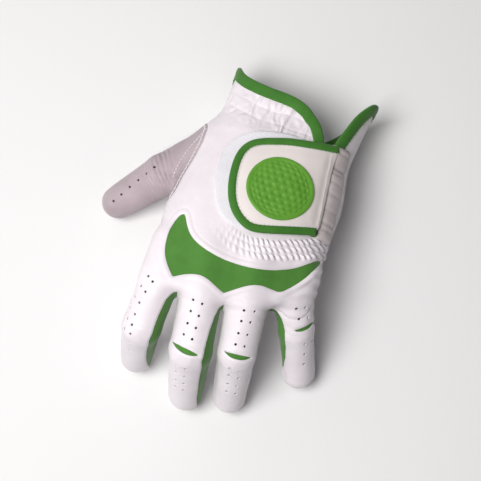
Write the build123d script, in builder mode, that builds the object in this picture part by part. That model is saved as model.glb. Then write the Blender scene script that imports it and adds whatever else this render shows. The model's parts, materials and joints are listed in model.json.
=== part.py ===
from build123d import *
import math
import os

# Golf glove for the left hand, lying palm down with relaxed, curled fingers.
# +X towards the little finger, +Y towards the wrist, +Z up out of the back of the hand.
# Origin: centre of the footprint box, on the surface the glove lies on.

os.makedirs("parts", exist_ok=True)

# ---------------------------------------------------------------- driving dimensions (mm)
WALL = 0.9  # leather thickness, with its lining
GAP = 0.3  # half of the clearance between two bodies at a flexing joint
TAB_LIFT = 1.8  # height of the tab's lining above the leather
BIND_OUT, BIND_IN = 0.6, 1.5  # how far the folded edge binding stands out and in
SHIFT = (10.42, 0.14, 0.10)  # hand axis coordinates to the footprint centre
HINGE_DROP = 0.35  # hinge axes lie this share of a radius below the stall's centreline

# hand cross-sections: y, centre x, centre z, half width, height above, depth below, roll deg, exponent
HAND = [
    (99.0, 9.0, 24.0, 39.5, 20.0, 20.0, 0.0, 2.2),
    (66.0, 6.2, 23.5, 37.4, 22.5, 22.5, 0.0, 2.3),
    (48.0, 3.0, 24.8, 40.2, 26.6, 24.2, -2.0, 2.3),
    (27.0, 2.5, 29.0, 43.1, 27.5, 24.0, -4.0, 2.3),
    (5.0, 1.4, 36.0, 43.3, 25.0, 20.0, -6.0, 2.4),
    (-18.0, 1.5, 42.0, 42.6, 20.5, 15.5, -8.0, 2.5),
    (-50.0, 1.5, 46.0, 43.0, 15.0, 12.5, -9.0, 2.6),
]

# finger stalls: root point, heading from -Y towards +X (deg), slope and length of each segment,
# radii at root, middle joint and tip, joint limits (root extend/flex, middle straighten/flex)
FINGERS = {
    "index": dict(root=(-30.9, -41.6, 52.0), heading=-6.1, s1=22.0, l1=20.0, s2=70.0, l2=37.0,
                  radii=(11.0, 10.2, 8.5), root_lim=(18, 42), mid_lim=(44, 32)),
    "middle": dict(root=(-8.4, -38.7, 52.0), heading=6.7, s1=13.5, l1=26.0, s2=62.0, l2=41.0,
                   radii=(11.1, 11.0, 9.2), root_lim=(18, 42), mid_lim=(44, 32)),
    "ring": dict(root=(14.1, -34.3, 50.0), heading=6.3, s1=15.5, l1=24.5, s2=60.0, l2=40.0,
                 radii=(10.7, 9.6, 8.6), root_lim=(18, 42), mid_lim=(42, 32)),
    "little": dict(root=(35.7, -22.8, 41.5), heading=23.9, s1=33.0, l1=17.0, s2=48.5, l2=30.5,
                   radii=(10.3, 9.4, 8.5), root_lim=(18, 42), mid_lim=(14, 45)),
}
# thumb stall: inner end inside the palm, joint plane, tip centre
THUMB_C, THUMB_M, THUMB_T = (-33.0, 40.5, 27.0), (-50.5, 22.5, 21.5), (-70.1, 3.2, 9.6)
THUMB_R = (13.2, 11.2, 8.9)
THUMB_UP = (-0.35, 0.35, 0.87)
THUMB_LIM = (15, 35)

# outlines on the back of the hand, in plan
KNUCKLE = [(-30.1, -0.3), (-32.1, -1.8), (-33.7, -6.2), (-34.3, -11.7), (-33.8, -18.2), (-32.2, -24.0),
           (-28.8, -29.0), (-24.9, -32.6), (-20.2, -30.8), (-15.7, -29.1), (-10.9, -28.5), (-6.3, -29.7),
           (-1.4, -32.0), (1.8, -32.7), (7.0, -29.5), (11.8, -26.2), (17.9, -23.6), (24.5, -22.6),
           (28.6, -21.8), (33.3, -19.2), (38.3, -12.7), (40.8, -7.8), (42.6, -0.8), (41.6, -0.6),
           (36.8, -5.5), (31.7, -9.5), (26.3, -12.3), (19.4, -15.2), (12.2, -16.8), (4.7, -17.3),
           (-3.1, -17.2), (-11.2, -16.0), (-17.3, -14.0), (-22.1, -11.2), (-26.0, -6.7), (-28.9, -1.6)]
TAB_OUT = [(32.0, 56.9), (31.9, 61.2), (26.7, 59.6), (18.2, 57.5), (8.5, 55.4), (2.1, 53.5), (-5.2, 50.7),
           (-9.8, 47.6), (-12.5, 43.4), (-14.1, 37.5), (-14.3, 29.9), (-13.2, 21.2), (-11.3, 14.5),
           (-8.5, 8.9), (-5.2, 5.1), (-1.2, 2.2), (3.4, 0.6), (8.7, 1.0), (17.9, 3.6), (27.1, 6.9),
           (32.0, 8.8), (36.0, 10.4), (35.9, 15.6)]
TAB_IN = [(31.6, 56.6), (22.9, 53.8), (13.2, 51.5), (0.9, 48.5), (-5.7, 45.5), (-8.9, 42.7), (-10.8, 37.9),
          (-11.0, 30.2), (-9.3, 20.3), (-6.7, 13.9), (-3.3, 8.5), (1.2, 5.1), (6.7, 4.6), (16.8, 6.9),
          (26.3, 9.6), (34.2, 13.1), (35.9, 15.6), (34.0, 36.0)]
HOOK_PAD = [(22.0, 48.5), (0.5, 43.5), (-5.0, 39.0), (-6.5, 30.0), (-4.5, 19.0), (0.5, 11.0), (8.0, 9.5), (22.0, 13.5)]
LOOP_PAD = [(12.0, 58.5), (-6.3, 55.4), (-16.3, 49.4), (-21.0, 41.3), (-21.5, 29.7), (-19.0, 15.9), (-13.5, 3.4),
            (-6.5, -4.2), (2.5, -5.2), (12.0, -2.0), (22.0, 4.0), (22.0, 56.0)]
EMBLEM_C, EMBLEM_R = (12.3, 27.2), 16.4
TAB_STRIP = [(32.9, 59.5), (34.9, 36.0), (36.9, 11.5), (43.2, 11.5), (41.6, 36.0), (38.6, 57.0)]
RIM_OUT_L = [(-60, 86.0), (-33, 86.5), (-28.5, 86.5), (-26.4, 85.1), (-17.9, 81.4), (-8.8, 79.5), (-0.3, 78.9),
             (6.2, 78.1), (12.5, 75.9), (16.9, 73.0), (22.5, 68.6), (25.3, 63.2), (27.1, 59.4), (30.5, 40.0),
             (33.4, 16.0), (34.6, 13.6)]
RIM_OUT_R = [(35.6, 16.0), (34.2, 40.0), (32.2, 61.0), (33.5, 65.4), (35.7, 72.2), (38.7, 80.8), (43.1, 88.0),
             (46.5, 91.5), (66, 93.0)]
RIM_IN_R = [(66, 86.5), (47.5, 84.5), (44.6, 80.0), (41.2, 73.0), (38.6, 66.0), (37.0, 60.0), (37.4, 40.0), (38.4, 16.0)]
RIM_IN_L = [(34.5, 10.2), (30.4, 16.0), (26.8, 40.0), (20.5, 56.0), (18.0, 61.0), (14.5, 66.5), (10.5, 70.2),
            (7.0, 71.8), (1.7, 72.4), (-6.7, 72.7), (-15.1, 73.9), (-24.5, 78.0), (-28.5, 79.6), (-33, 79.8), (-60, 79.5)]
PALM_RIM_OUT = [(-60, 86.0), (-33, 85.5), (-24, 79.0), (-12, 70.5), (0, 65.2), (8, 64.0), (18, 65.4), (29, 71.0),
                (39, 81.5), (47, 91.0), (66, 93.0)]
PALM_RIM_IN = [(66, 86.5), (51, 84.5), (42.5, 75.5), (33, 65.5), (20, 58.9), (8, 57.4), (-2, 58.9), (-15, 64.6),
               (-27, 73.0), (-35, 79.3), (-60, 79.5)]
SEAM_Z = [(-70, 47.0), (-36, 46.5), (-18, 43.5), (5, 38.0), (27, 31.5), (52, 26.0), (66, 25.0), (99, 25.0)]


def off(p):
    return tuple(c + s for c, s in zip(p, SHIFT))


def plan(points):
    return [(x + SHIFT[0], y + SHIFT[1]) for x, y in points]


def hand_body(grow):
    """The glove's hand as one solid, grown outwards by grow.
    Each section is a superellipse drawn as four cubic arcs."""
    with BuildPart() as body:
        for y, cx, cz, a, bt, bb, roll, n in HAND:
            k = (8 * 2 ** (-1 / n) - 4) / 3
            r = math.radians(roll)

            def at(u, w):
                u *= a + grow
                w *= (bt if w > 0 else bb) + grow
                return (cx + u * math.cos(r) - w * math.sin(r) + SHIFT[0],
                        cz + u * math.sin(r) + w * math.cos(r) + SHIFT[2])

            with BuildSketch(Plane.XZ.offset(-(y + SHIFT[1]))):
                with BuildLine():
                    Bezier(at(1, 0), at(1, k), at(k, 1), at(0, 1))
                    Bezier(at(0, 1), at(-k, 1), at(-1, k), at(-1, 0))
                    Bezier(at(-1, 0), at(-1, -k), at(-k, -1), at(0, -1))
                    Bezier(at(0, -1), at(k, -1), at(1, -k), at(1, 0))
                make_face()
        loft()
    return body.part


def axes_of(direction, up):
    d = Vector(*direction).normalized()
    v = Vector(*up) - d * d.dot(Vector(*up))
    v = v.normalized()
    return d, v, v.cross(d)


def finger_frame(f, slope):
    g, s = math.radians(f["heading"]), math.radians(slope)
    d = (math.sin(g) * math.cos(s), -math.cos(g) * math.cos(s), -math.sin(s))
    return axes_of(d, (0, 0, 1))


def arc_panel(label, origin, d, v, side, start, sweep, wall_line, mask):
    """A strip of a stall's wall: the wall profile turned about the stall's axis from start by sweep
    degrees (0 is the back of the finger, positive towards the side vector), trimmed by mask."""
    a = math.radians(start)
    radial = v * math.cos(a) + side * math.sin(a)
    with BuildPart() as panel:
        with BuildSketch(Plane(origin=origin, x_dir=d, z_dir=d.cross(radial))):
            with BuildLine():
                wall_line()
            make_face()
        revolve(axis=Axis(origin, -d), revolution_arc=sweep)
        with BuildSketch(Plane(origin=origin, x_dir=d, z_dir=d.cross(v))):
            with BuildLine():
                Polyline(*mask, close=True)
            make_face()
        extrude(amount=30, both=True, mode=Mode.INTERSECT)
    panel.part.label = label
    export_step(panel.part, f"parts/{label}.step")


def tube_wall(r0, r1, length):
    def draw():
        Polyline((0, r0), (length, r1), (length, r1 - WALL), (0, r0 - WALL), close=True)
    return draw


def capped_wall(r0, r1, length):
    """Cone wall ending in a round cap about (length, 0)."""
    def draw():
        q = math.sqrt(0.5)
        o = Line((0, r0), (length, r1))
        a = ThreePointArc(o @ 1, (length + r1 * q, r1 * q), (length + r1, 0))
        b = Line(a @ 1, (length + r1 - WALL, 0))
        c = ThreePointArc(b @ 1, (length + (r1 - WALL) * q, (r1 - WALL) * q), (length, r1 - WALL))
        e = Line(c @ 1, (0, r0 - WALL))
        Line(e @ 1, o @ 0)
    return draw


# wall strips: name, start angle and sweep about the stall's axis; side vector points to the little finger
WITH_BOTH = [("back", -48, 96), ("gusset_outer", 48, 74), ("palm", 122, 116), ("gusset_inner", 238, 74)]
WITH_OUTER = [("back", -122, 170), ("gusset_outer", 48, 74), ("palm", 122, 116)]
WITH_INNER = [("back", -48, 170), ("palm", 122, 116), ("gusset_inner", 238, 74)]
STRIPS = {"index": WITH_OUTER, "middle": WITH_BOTH, "ring": WITH_BOTH, "little": WITH_INNER}

for name, f in FINGERS.items():
    r0, r1, r2 = f["radii"]
    l1, l2 = f["l1"], f["l2"]
    root = Vector(*off(f["root"]))
    d1, v1, h = finger_frame(f, f["s1"])
    d2, v2, _ = finger_frame(f, f["s2"])
    knee = root + d1 * l1
    bend = math.radians(f["s2"] - f["s1"])
    ext, flex = (math.radians(x + 1) for x in f["root_lim"])
    half = math.radians((math.degrees(bend) + f["mid_lim"][1]) / 2 + 1)
    e0, e1 = HINGE_DROP * r0, HINGE_DROP * r1
    # hinge points in each segment's own (along, up) plane
    a1 = (l1 - e1 * math.sin(bend / 2), -e1 * math.cos(bend / 2))
    b1 = (e1 * math.sin(bend / 2), -e1 * math.cos(bend / 2))
    up, dn = 24.0, 24.0
    base_mask = [(GAP, -e0), (GAP + (up + e0) * math.tan(ext), up), (a1[0] - GAP, up), (a1[0] - GAP, a1[1])]
    reach = (a1[0] - 2 * GAP - 1.0) / (math.tan(flex) + math.tan(half))
    base_mask += [(a1[0] - GAP - reach * math.tan(half), a1[1] - reach), (GAP + reach * math.tan(flex), -e0 - reach)]
    tip_mask = [(b1[0] + GAP, b1[1]), (b1[0] + GAP, up), (l2 + 20, up), (l2 + 20, -dn), (b1[0] + GAP + (dn + b1[1]) * math.tan(half), -dn)]
    for strip, start, sweep in STRIPS[name]:
        arc_panel(f"{name}_base_{strip}", root, d1, v1, h, start, sweep, tube_wall(r0, r1, l1), base_mask)
        arc_panel(f"{name}_tip_{strip}", knee, d2, v2, h, start, sweep, capped_wall(r1, r2, l2), tip_mask)
    # stretch insert across the back of the middle joint: the inner circle of the stall turned about the hinge
    hinge = root + d1 * a1[0] + v1 * a1[1]
    ro, ri = r1 - WALL - 0.4, r1 - WALL - 1.1
    lift, wide = e1 * math.cos(bend / 2), math.radians(52)
    s, c = math.sin(wide), math.cos(wide)
    back = math.degrees(bend) / 2 + 9
    vb = (v1 * math.cos(bend / 2) + d1 * math.sin(bend / 2)).normalized()
    lead = vb.rotate(Axis((0, 0, 0), h), -back)
    with BuildPart() as insert:
        with BuildSketch(Plane(origin=hinge, x_dir=h, z_dir=h.cross(lead))):
            with BuildLine():
                o = ThreePointArc((-ro * s, lift + ro * c), (0, lift + ro), (ro * s, lift + ro * c))
                j = Line(o @ 1, (ri * s, lift + ri * c))
                i = ThreePointArc(j @ 1, (0, lift + ri), (-ri * s, lift + ri * c))
                Line(i @ 1, o @ 0)
            make_face()
        revolve(axis=Axis(hinge, h), revolution_arc=2 * back)
    insert.part.label = f"{name}_flex_insert"
    export_step(insert.part, f"parts/{name}_flex_insert.step")
    print(name, "root hinge", tuple(round(x, 3) for x in (root - v1 * e0)), "middle hinge", tuple(round(x, 3) for x in hinge),
          "axis", tuple(round(x, 5) for x in h), "knee", tuple(round(x, 2) for x in knee), "tip", tuple(round(x, 2) for x in (knee + d2 * l2)))

# ---------------------------------------------------------------- thumb
tc, tm, tt = (Vector(*off(p)) for p in (THUMB_C, THUMB_M, THUMB_T))
dt, vt, ht = axes_of(tuple(tt - tm), THUMB_UP)
dr, vr, hr = axes_of(tuple(tm - tc), THUMB_UP)
lt, lr = (tt - tm).length, (tm - tc).length
et = HINGE_DROP * THUMB_R[1]
t_ext, t_flex = (math.radians(x + 1) for x in THUMB_LIM)
t_mask = [(GAP, -et), (GAP + (24 + et) * math.tan(t_ext), 24), (lt + 20, 24), (lt + 20, -24), (GAP + (24 - et) * math.tan(t_flex), -24)]
arc_panel("thumb_tip_back", tm, dt, vt, ht, -90, 180, capped_wall(THUMB_R[1], THUMB_R[2], lt), t_mask)
arc_panel("thumb_tip_palm", tm, dt, vt, ht, 90, 180, capped_wall(THUMB_R[1], THUMB_R[2], lt), t_mask)
print("thumb hinge", tuple(round(x, 3) for x in (tm - vt * et)), "axis", tuple(round(x, 5) for x in ht))

# ---------------------------------------------------------------- hand shell and its layers
OUTER = hand_body(0.0)
INNER = hand_body(-WALL)


def layer(low, high):
    """A thin layer over the hand from low to high above the leather."""
    with BuildPart() as skin:
        add(hand_body(high))
        add(hand_body(low), mode=Mode.SUBTRACT)
    return skin.part


def cut_side(upper):
    """Solid above (or below) the side seam between back and palm leather."""
    pts = [(y + SHIFT[1], z + SHIFT[2]) for y, z in SEAM_Z]
    top = 120 if upper else -60
    with BuildPart() as half_space:
        with BuildSketch(Plane.YZ):
            with BuildLine():
                Polyline(*pts, (pts[-1][0], top), (pts[0][0], top), close=True)
            make_face()
        extrude(amount=90, both=True)
    return half_space.part


def prism(points, smooth=False):
    with BuildPart() as block:
        with BuildSketch(Plane.XY.offset(-20)):
            with BuildLine():
                Polyline(*plan(points), close=True)
            make_face()
        extrude(amount=140)
    return block.part


def root_cutters():
    """What is cut away in front of the finger roots, square to each finger."""
    spans = {"index": (-30, 11.4), "middle": (-11.4, 11.5), "ring": (-11.5, 11.2), "little": (-10.9, 30)}
    with BuildPart() as cutter:
        for name, f in FINGERS.items():
            d, v, h = finger_frame(f, f["s1"])
            low, high = spans[name]
            with BuildSketch(Plane(origin=Vector(*off(f["root"])), x_dir=h, z_dir=d)):
                with Locations(((low + high) / 2, 0)):
                    Rectangle(high - low, 70)
            extrude(amount=45)
        with Locations((SHIFT[0], -50.0 + SHIFT[1] - 20, 45)):
            Box(160, 52, 120)
    return cutter.part


with BuildPart() as thumb_core:
    with BuildSketch(Plane(origin=tc, x_dir=dr, z_dir=dr.cross(vr))):
        with BuildLine():
            Polyline((0, 0), (0, THUMB_R[0] - WALL), (lr + 1, THUMB_R[1] - WALL), (lr + 1, 0), close=True)
        make_face()
    revolve(axis=Axis(tc, dr), revolution_arc=360)

with BuildPart() as thumb_root_panel:
    with BuildSketch(Plane(origin=tc, x_dir=dr, z_dir=dr.cross(vr))):
        with BuildLine():
            Polyline((0, THUMB_R[0]), (lr, THUMB_R[1]), (lr, THUMB_R[1] - WALL), (0, THUMB_R[0] - WALL), close=True)
        make_face()
    revolve(axis=Axis(tc, dr), revolution_arc=360)
    add(OUTER, mode=Mode.SUBTRACT)
    with BuildSketch(Plane(origin=tm, x_dir=ht, z_dir=dt)):
        Circle(30)
    extrude(amount=30, mode=Mode.SUBTRACT)
thumb_root_panel.part.label = "thumb_root_panel"
export_step(thumb_root_panel.part, "parts/thumb_root_panel.step")

UPPER, LOWER = cut_side(True), cut_side(False)
FRONT = root_cutters()
KNUCKLE_BLOCK = prism(KNUCKLE)
BINDING_BLOCK = prism(RIM_OUT_L + RIM_OUT_R + RIM_IN_R + RIM_IN_L)
BEYOND_BLOCK = prism(RIM_OUT_L + RIM_OUT_R + [(66, 130), (-60, 130)])
PALM_BIND_BLOCK = prism(PALM_RIM_OUT + PALM_RIM_IN)
PALM_BEYOND_BLOCK = prism(PALM_RIM_OUT + [(66, 130), (-60, 130)])

with BuildPart() as back_panel:
    add(OUTER)
    add(INNER, mode=Mode.SUBTRACT)
    add(UPPER, mode=Mode.INTERSECT)
    add(FRONT, mode=Mode.SUBTRACT)
    add(KNUCKLE_BLOCK, mode=Mode.SUBTRACT)
    add(BINDING_BLOCK, mode=Mode.SUBTRACT)
    add(BEYOND_BLOCK, mode=Mode.SUBTRACT)
    add(thumb_core.part, mode=Mode.SUBTRACT)
back_panel.part.label = "back_panel"
export_step(back_panel.part, "parts/back_panel.step")

with BuildPart() as palm_panel:
    add(OUTER)
    add(INNER, mode=Mode.SUBTRACT)
    add(LOWER, mode=Mode.INTERSECT)
    add(FRONT, mode=Mode.SUBTRACT)
    add(PALM_BIND_BLOCK, mode=Mode.SUBTRACT)
    add(PALM_BEYOND_BLOCK, mode=Mode.SUBTRACT)
    add(thumb_core.part, mode=Mode.SUBTRACT)
palm_panel.part.label = "palm_panel"
export_step(palm_panel.part, "parts/palm_panel.step")

with BuildPart() as knuckle_panel:
    add(OUTER)
    add(INNER, mode=Mode.SUBTRACT)
    add(UPPER, mode=Mode.INTERSECT)
    add(KNUCKLE_BLOCK, mode=Mode.INTERSECT)
knuckle_panel.part.label = "knuckle_stretch_panel"
export_step(knuckle_panel.part, "parts/knuckle_stretch_panel.step")

BIND_LAYER = layer(-BIND_IN, BIND_OUT)
with BuildPart() as cuff_binding:
    add(BIND_LAYER)
    add(UPPER, mode=Mode.INTERSECT)
    add(BINDING_BLOCK, mode=Mode.INTERSECT)
with BuildPart() as palm_binding:
    add(BIND_LAYER)
    add(LOWER, mode=Mode.INTERSECT)
    add(PALM_BIND_BLOCK, mode=Mode.INTERSECT)
cuff_binding.part.label = "cuff_binding_back"
export_step(cuff_binding.part, "parts/cuff_binding_back.step")
palm_binding.part.label = "cuff_binding_palm"
export_step(palm_binding.part, "parts/cuff_binding_palm.step")

with BuildPart() as loop_pad:
    add(layer(0.05, 0.85))
    add(UPPER, mode=Mode.INTERSECT)
    add(prism(LOOP_PAD), mode=Mode.INTERSECT)
    add(BINDING_BLOCK, mode=Mode.SUBTRACT)
loop_pad.part.label = "loop_pad"
export_step(loop_pad.part, "parts/loop_pad.step")

with BuildPart() as tab_root_strip:
    add(layer(0.7, 2.4))
    add(UPPER, mode=Mode.INTERSECT)
    add(prism(TAB_STRIP), mode=Mode.INTERSECT)
tab_root_strip.part.label = "tab_root_strip"
export_step(tab_root_strip.part, "parts/tab_root_strip.step")

# ---------------------------------------------------------------- closure tab
with BuildPart() as tab_binding:
    add(layer(1.2, 3.3))
    add(UPPER, mode=Mode.INTERSECT)
    add(prism(TAB_OUT), mode=Mode.INTERSECT)
    add(prism(TAB_IN), mode=Mode.SUBTRACT)
tab_binding.part.label = "tab_binding"
export_step(tab_binding.part, "parts/tab_binding.step")

with BuildPart() as tab_lining:
    add(layer(TAB_LIFT, TAB_LIFT + 0.4))
    add(UPPER, mode=Mode.INTERSECT)
    add(prism(TAB_IN), mode=Mode.INTERSECT)
tab_lining.part.label = "tab_lining"
export_step(tab_lining.part, "parts/tab_lining.step")

with BuildPart() as tab_face:
    add(layer(TAB_LIFT + 0.45, TAB_LIFT + 1.1))
    add(UPPER, mode=Mode.INTERSECT)
    add(prism(TAB_IN), mode=Mode.INTERSECT)
tab_face.part.label = "tab_face"
export_step(tab_face.part, "parts/tab_face.step")

with BuildPart() as hook_pad:
    add(layer(1.15, TAB_LIFT - 0.05))
    add(UPPER, mode=Mode.INTERSECT)
    add(prism(HOOK_PAD), mode=Mode.INTERSECT)
hook_pad.part.label = "hook_pad"
export_step(hook_pad.part, "parts/hook_pad.step")

with BuildPart() as emblem_block:
    with BuildSketch(Plane.XY.offset(20)):
        with Locations((EMBLEM_C[0] + SHIFT[0], EMBLEM_C[1] + SHIFT[1])):
            Circle(EMBLEM_R)
    extrude(amount=60)
with BuildPart() as emblem:
    add(layer(TAB_LIFT + 1.15, TAB_LIFT + 1.45))
    add(UPPER, mode=Mode.INTERSECT)
    add(emblem_block.part, mode=Mode.INTERSECT)
emblem.part.label = "tab_emblem"
export_step(emblem.part, "parts/tab_emblem.step")

# ---------------------------------------------------------------- elastic bands and label inside
ELASTIC = layer(-1.7, -1.1)
BACK_ELASTIC = [(-8, -3.5), (4, -5.5), (16, -3.0), (27, 1.5), (33, 6.0), (31, 9.0), (18, 2.0), (6, -1.0), (-6, 1.5)]
CUFF_ELASTIC = [(-24, 70.5), (-14, 66.5), (-2, 65.5), (8, 64.5), (9, 69.0), (-2, 70.5), (-14, 71.8), (-22, 75.0)]
PALM_ELASTIC = [(-26, 49.0), (-12, 46.0), (8, 44.5), (30, 46.0), (38, 49.0), (37, 54.0), (30, 51.5), (8, 50.0), (-12, 51.5), (-25, 54.0)]
LABEL = [(-2, 36.0), (16, 36.0), (16, 43.0), (-2, 43.0)]

with BuildPart() as back_elastic:
    add(ELASTIC)
    add(UPPER, mode=Mode.INTERSECT)
    add(prism(BACK_ELASTIC), mode=Mode.INTERSECT)
back_elastic.part.label = "back_elastic"
export_step(back_elastic.part, "parts/back_elastic.step")

with BuildPart() as cuff_elastic:
    add(ELASTIC)
    add(UPPER, mode=Mode.INTERSECT)
    add(prism(CUFF_ELASTIC), mode=Mode.INTERSECT)
cuff_elastic.part.label = "cuff_elastic"
export_step(cuff_elastic.part, "parts/cuff_elastic.step")

with BuildPart() as palm_elastic:
    add(ELASTIC)
    add(LOWER, mode=Mode.INTERSECT)
    add(prism(PALM_ELASTIC), mode=Mode.INTERSECT)
palm_elastic.part.label = "palm_elastic"
export_step(palm_elastic.part, "parts/palm_elastic.step")

with BuildPart() as size_label:
    add(ELASTIC)
    add(LOWER, mode=Mode.INTERSECT)
    add(prism(LABEL), mode=Mode.INTERSECT)
size_label.part.label = "size_label"
export_step(size_label.part, "parts/size_label.step")
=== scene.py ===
import json
import math

import bpy
import numpy as np
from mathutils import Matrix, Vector

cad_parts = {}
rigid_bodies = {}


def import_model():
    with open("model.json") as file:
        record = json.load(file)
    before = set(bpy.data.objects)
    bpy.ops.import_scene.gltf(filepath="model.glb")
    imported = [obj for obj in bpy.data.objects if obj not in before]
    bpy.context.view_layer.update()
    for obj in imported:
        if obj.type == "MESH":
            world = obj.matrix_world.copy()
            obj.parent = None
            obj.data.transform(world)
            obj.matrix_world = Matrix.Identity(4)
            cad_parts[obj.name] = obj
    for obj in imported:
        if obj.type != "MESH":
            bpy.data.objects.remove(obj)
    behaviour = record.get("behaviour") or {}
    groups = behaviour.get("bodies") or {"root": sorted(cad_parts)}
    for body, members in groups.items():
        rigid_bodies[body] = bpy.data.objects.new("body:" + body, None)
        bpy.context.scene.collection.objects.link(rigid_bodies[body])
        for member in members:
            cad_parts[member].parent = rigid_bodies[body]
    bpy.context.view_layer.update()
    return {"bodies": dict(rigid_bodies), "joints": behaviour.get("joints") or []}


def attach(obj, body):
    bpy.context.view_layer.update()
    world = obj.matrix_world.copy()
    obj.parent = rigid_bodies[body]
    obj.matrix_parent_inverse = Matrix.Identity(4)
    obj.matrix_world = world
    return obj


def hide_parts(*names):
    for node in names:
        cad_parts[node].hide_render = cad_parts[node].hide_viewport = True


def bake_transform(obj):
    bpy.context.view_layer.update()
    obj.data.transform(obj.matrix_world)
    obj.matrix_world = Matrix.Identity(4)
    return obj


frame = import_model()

BODIES = frame["bodies"]
JOINTS = {j["name"]: j for j in frame["joints"]}

# Everything is worked out in millimetres about the hand's own axis and moved to the row frame at the end.
SHIFT = np.array([10.42, 0.14, 0.10])
STEP = 0.8  # spacing of the skin's mesh
rng = np.random.RandomState(11)


def a3(*v):
    return np.array(v, float)


# ================================================================ shape of the filled glove
SECTIONS = np.array([  # y, centre x, centre z, half width, height above, depth below, roll, exponent
    [-36, 1.5, 45.5, 43.0, 16.0, 9.5, -9.0, 2.6],
    [-18, 1.5, 42.0, 42.6, 20.5, 14.6, -8.0, 2.5],
    [5, 1.4, 36.0, 43.3, 25.0, 20.0, -6.0, 2.4],
    [27, 2.5, 29.0, 43.1, 27.5, 24.0, -4.0, 2.3],
    [52, 3.2, 24.0, 39.6, 26.0, 24.0, -1.5, 2.3],
    [66, 6.2, 23.5, 37.4, 22.5, 22.5, 0.0, 2.3],
    [82, 7.8, 24.0, 37.8, 21.5, 21.0, 0.0, 2.2],
    [98, 9.0, 24.0, 39.5, 20.0, 20.0, 0.0, 2.2],
])
FINGERS = {
    "index": dict(root=(-31.4, -41.6, 52.0), heading=-4.7, s1=22.0, l1=20.0, s2=70.0, l2=37.0,
                  radii=(10.4, 10.2, 8.5), knuckle=(-31.4, -16.3)),
    "middle": dict(root=(-8.4, -38.7, 52.0), heading=6.7, s1=13.5, l1=26.0, s2=62.0, l2=41.0,
                   radii=(11.1, 11.0, 9.2), knuckle=(-12.9, -13.6)),
    "ring": dict(root=(14.1, -34.3, 50.0), heading=6.3, s1=15.5, l1=24.5, s2=60.0, l2=40.0,
                 radii=(10.7, 9.6, 8.6), knuckle=(11.6, -11.9)),
    "little": dict(root=(35.7, -22.8, 41.5), heading=23.9, s1=33.0, l1=17.0, s2=48.5, l2=30.5,
                   radii=(10.3, 9.4, 8.5), knuckle=(35.2, -9.0)),
}
NAMES = list(FINGERS)
THUMB = dict(c=a3(-28.8, 41.4, 26.0), m=a3(-50.5, 22.5, 21.5), t=a3(-70.1, 3.2, 9.6), r=(13.2, 11.2, 8.9))
SEAM_Z = np.array([(-70, 47.0), (-36, 46.5), (-18, 43.5), (5, 38.0), (27, 31.5), (52, 26.0), (66, 25.0), (99, 25.0)])


def pchip(x, y, q):
    """Monotone cubic through the points (x, y) at q."""
    h, d = np.diff(x), np.diff(y) / np.diff(x)
    m = np.zeros(len(x))
    for k in range(1, len(x) - 1):
        if d[k - 1] * d[k] > 0:
            w1, w2 = 2 * h[k] + h[k - 1], h[k] + 2 * h[k - 1]
            m[k] = (w1 + w2) / (w1 / d[k - 1] + w2 / d[k])
    m[0], m[-1] = d[0], d[-1]
    q = np.clip(q, x[0], x[-1])
    i = np.clip(np.searchsorted(x, q) - 1, 0, len(x) - 2)
    t = (q - x[i]) / h[i]
    return ((2 * t**3 - 3 * t**2 + 1) * y[i] + (t**3 - 2 * t**2 + t) * h[i] * m[i]
            + (3 * t**2 - 2 * t**3) * y[i + 1] + (t**3 - t**2) * h[i] * m[i + 1])


YS = np.arange(-36, 98.01, 0.5)
TABLE = [pchip(SECTIONS[:, 0], SECTIONS[:, k], YS) for k in range(1, 8)]


def hand_f(p):
    """Signed distance, near enough, to the hand part of the glove, open towards the wrist."""
    y = p[:, 1]
    cx, cz, a, bt, bb, roll, n = (np.interp(y, YS, t) for t in TABLE)
    r = np.radians(roll)
    dx, dz = p[:, 0] - cx, p[:, 2] - cz
    c, s = np.cos(r), np.sin(r)
    u, w = dx * c + dz * s, -dx * s + dz * c
    b = np.where(w > 0, bt, bb)
    A, B = np.abs(u) / a + 1e-6, np.abs(w) / b + 1e-6
    q = (A**n + B**n) ** (1 / n)
    g = np.sqrt((A ** (n - 1) / a) ** 2 + (B ** (n - 1) / b) ** 2) * q ** (1 - n)
    return np.clip((q - 1) / np.maximum(g, 0.01), -30, 60)


def smin(a, b, k):
    h = np.clip(0.5 + 0.5 * (b - a) / k, 0, 1)
    return b + (a - b) * h - k * h * (1 - h)


def seg(p, a, b, r1, r2):
    ba, pa = b - a, p - a
    t = np.clip(pa @ ba / (ba @ ba), 0, 1)
    return np.sqrt(((pa - t[:, None] * ba) ** 2).sum(1)) - (r1 + (r2 - r1) * t)


FRONT_X = np.array([-40.0, -21.0, 3.0, 15.0, 27.0, 36.0, 45.0])
FRONT_Y = np.array([-39.5, -39.5, -38.0, -35.5, -31.0, -26.0, -21.5])


def hand_capped(p):
    return -smin(-hand_f(p), p[:, 1] - np.interp(p[:, 0], FRONT_X, FRONT_Y), 5.0)


def top_z(x, y, f=hand_f, low=34.0, high=85.0):
    """Height of the skin above each plan point."""
    x, y = np.broadcast_arrays(np.asarray(x, float), np.asarray(y, float))
    lo, hi = np.full(x.shape, low), np.full(x.shape, high)
    for _ in range(22):
        mid = (lo + hi) / 2
        out = f(np.stack([x.ravel(), y.ravel(), mid.ravel()], 1)).reshape(x.shape) > 0
        hi, lo = np.where(out, mid, hi), np.where(out, lo, mid)
    return (lo + hi) / 2


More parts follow.
